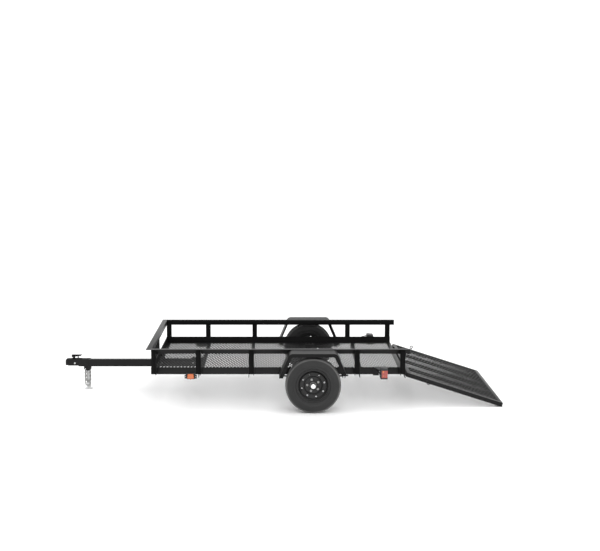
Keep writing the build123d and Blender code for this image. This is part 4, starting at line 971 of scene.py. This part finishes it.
LATCH_DOWN_RAMP = 0.230
LATCH_X = (HINGE_POINT + DOWN_RAMP * LATCH_DOWN_RAMP).x
LATCH_RINGS = (
    # middle, which way its stem points
    (Vector((LATCH_X + 0.002, 0.7330, 0.2966)), 1),
    (Vector((LATCH_X, -0.7330, 0.2420)), -1),
)
RING_RADIUS = 0.0130
RING_WIRE_RADIUS = 0.0045
RING_STEPS = 28
RING_STEM_RADIUS = 0.0036
RING_STEM_ENDS = (-0.0380, -0.0110)


def latch_rings():
    """Pull rings of the gate's two latches: the far one stands, the near one hangs."""
    quarter_turn = Matrix.Rotation(math.radians(90), 3, "X")
    maker = bmesh.new()
    for place, stem_way in LATCH_RINGS:
        wire = bmesh.ops.create_circle(maker, segments=10, radius=RING_WIRE_RADIUS)["verts"]
        known = set(maker.verts) - set(wire)
        bmesh.ops.rotate(maker, verts=wire, cent=(0, 0, 0), matrix=quarter_turn)
        bmesh.ops.translate(maker, verts=wire, vec=(RING_RADIUS, 0, 0))
        edges = list({edge for corner in wire for edge in corner.link_edges})
        spin_round(maker, wire + edges, Z_AXIS, RING_STEPS)
        ring = [corner for corner in maker.verts if corner not in known]
        bmesh.ops.rotate(maker, verts=ring, cent=(0, 0, 0), matrix=quarter_turn)
        bmesh.ops.translate(maker, verts=ring, vec=place)
        stem = turned(maker, RING_STEM_RADIUS, *RING_STEM_ENDS, 10)
        put(maker, stem, place, (0, 0, stem_way))
    return finish_piece("latch_rings", maker, "ramp", "frame_paint", smooth=50)


# ---- Setting ----
WORLD_STRENGTH = 1.2
FLOOR_SIZE = 60.0
LIGHTS = (
    # name, place, target, size, watts
    ("top_light", (0.3, 0.0, 6.0), (0, 0, 0), 4.0, 110),
    ("front_light", (0.3, -6.5, 4.6), (0, 0, 0.3), 3.0, 100),
)


def studio():
    """A white room: a pale floor, an even sky and two soft lights."""
    world = bpy.data.worlds.new("studio")
    bpy.context.scene.world = world
    world.use_nodes = True
    sky = world.node_tree.nodes["Background"]
    sky.inputs["Color"].default_value = (1, 1, 1, 1)
    sky.inputs["Strength"].default_value = WORLD_STRENGTH
    bpy.context.scene.view_settings.view_transform = "Standard"
    maker = bmesh.new()
    bmesh.ops.create_grid(maker, x_segments=2, y_segments=2, size=FLOOR_SIZE)
    mesh = bpy.data.meshes.new("floor")
    maker.to_mesh(mesh)
    maker.free()
    mesh.materials.append(floor_finish())
    ground = bpy.data.objects.new("floor", mesh)
    bpy.context.collection.objects.link(ground)
    for light in LIGHTS:
        soft_light(*light)


place_camera()
studio()
dress_nodes()

deck_low, deck_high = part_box("floor_mesh")
expanded_metal(
    "deck_mesh",
    Vector((deck_low.x, deck_low.y, (deck_low.z + deck_high.z) / 2)),
    X_AXIS,
    deck_high.x - deck_low.x,
    deck_high.y - deck_low.y,
    "chassis",
    ["floor_mesh"],
)
expanded_metal(
    "gate_mesh",
    HINGE_POINT + DOWN_RAMP * GATE_MESH_START + OFF_RAMP * GATE_MESH_OFF - Y_AXIS * GATE_MESH_HALF,
    DOWN_RAMP,
    GATE_MESH_END - GATE_MESH_START,
    2 * GATE_MESH_HALF,
    "ramp",
    ["ramp_mesh"],
)
for name, side in SIDES:
    tyre(f"treaded_tyre_{name}", name)
    valve_stem(name, side)
chains()
for nodes, edge_radius in ROUNDED_NODES:
    for node in nodes:
        rounded(node, edge_radius)
frame_bolts()
frame_welds()
paired_blocks("spring_clips", SPRING_CLIPS, "frame_paint")
paired_blocks("amber_windows", AMBER_WINDOWS, "amber_lens")
paired_blocks("marker_ears", MARKER_EARS, "lamp_plastic")
marker_screws()
fender_tail()
gusset_plates()
lever_skirts()
paired_blocks("lens_strips", LENS_STRIPS, "lamp_plastic")
latch_rings()
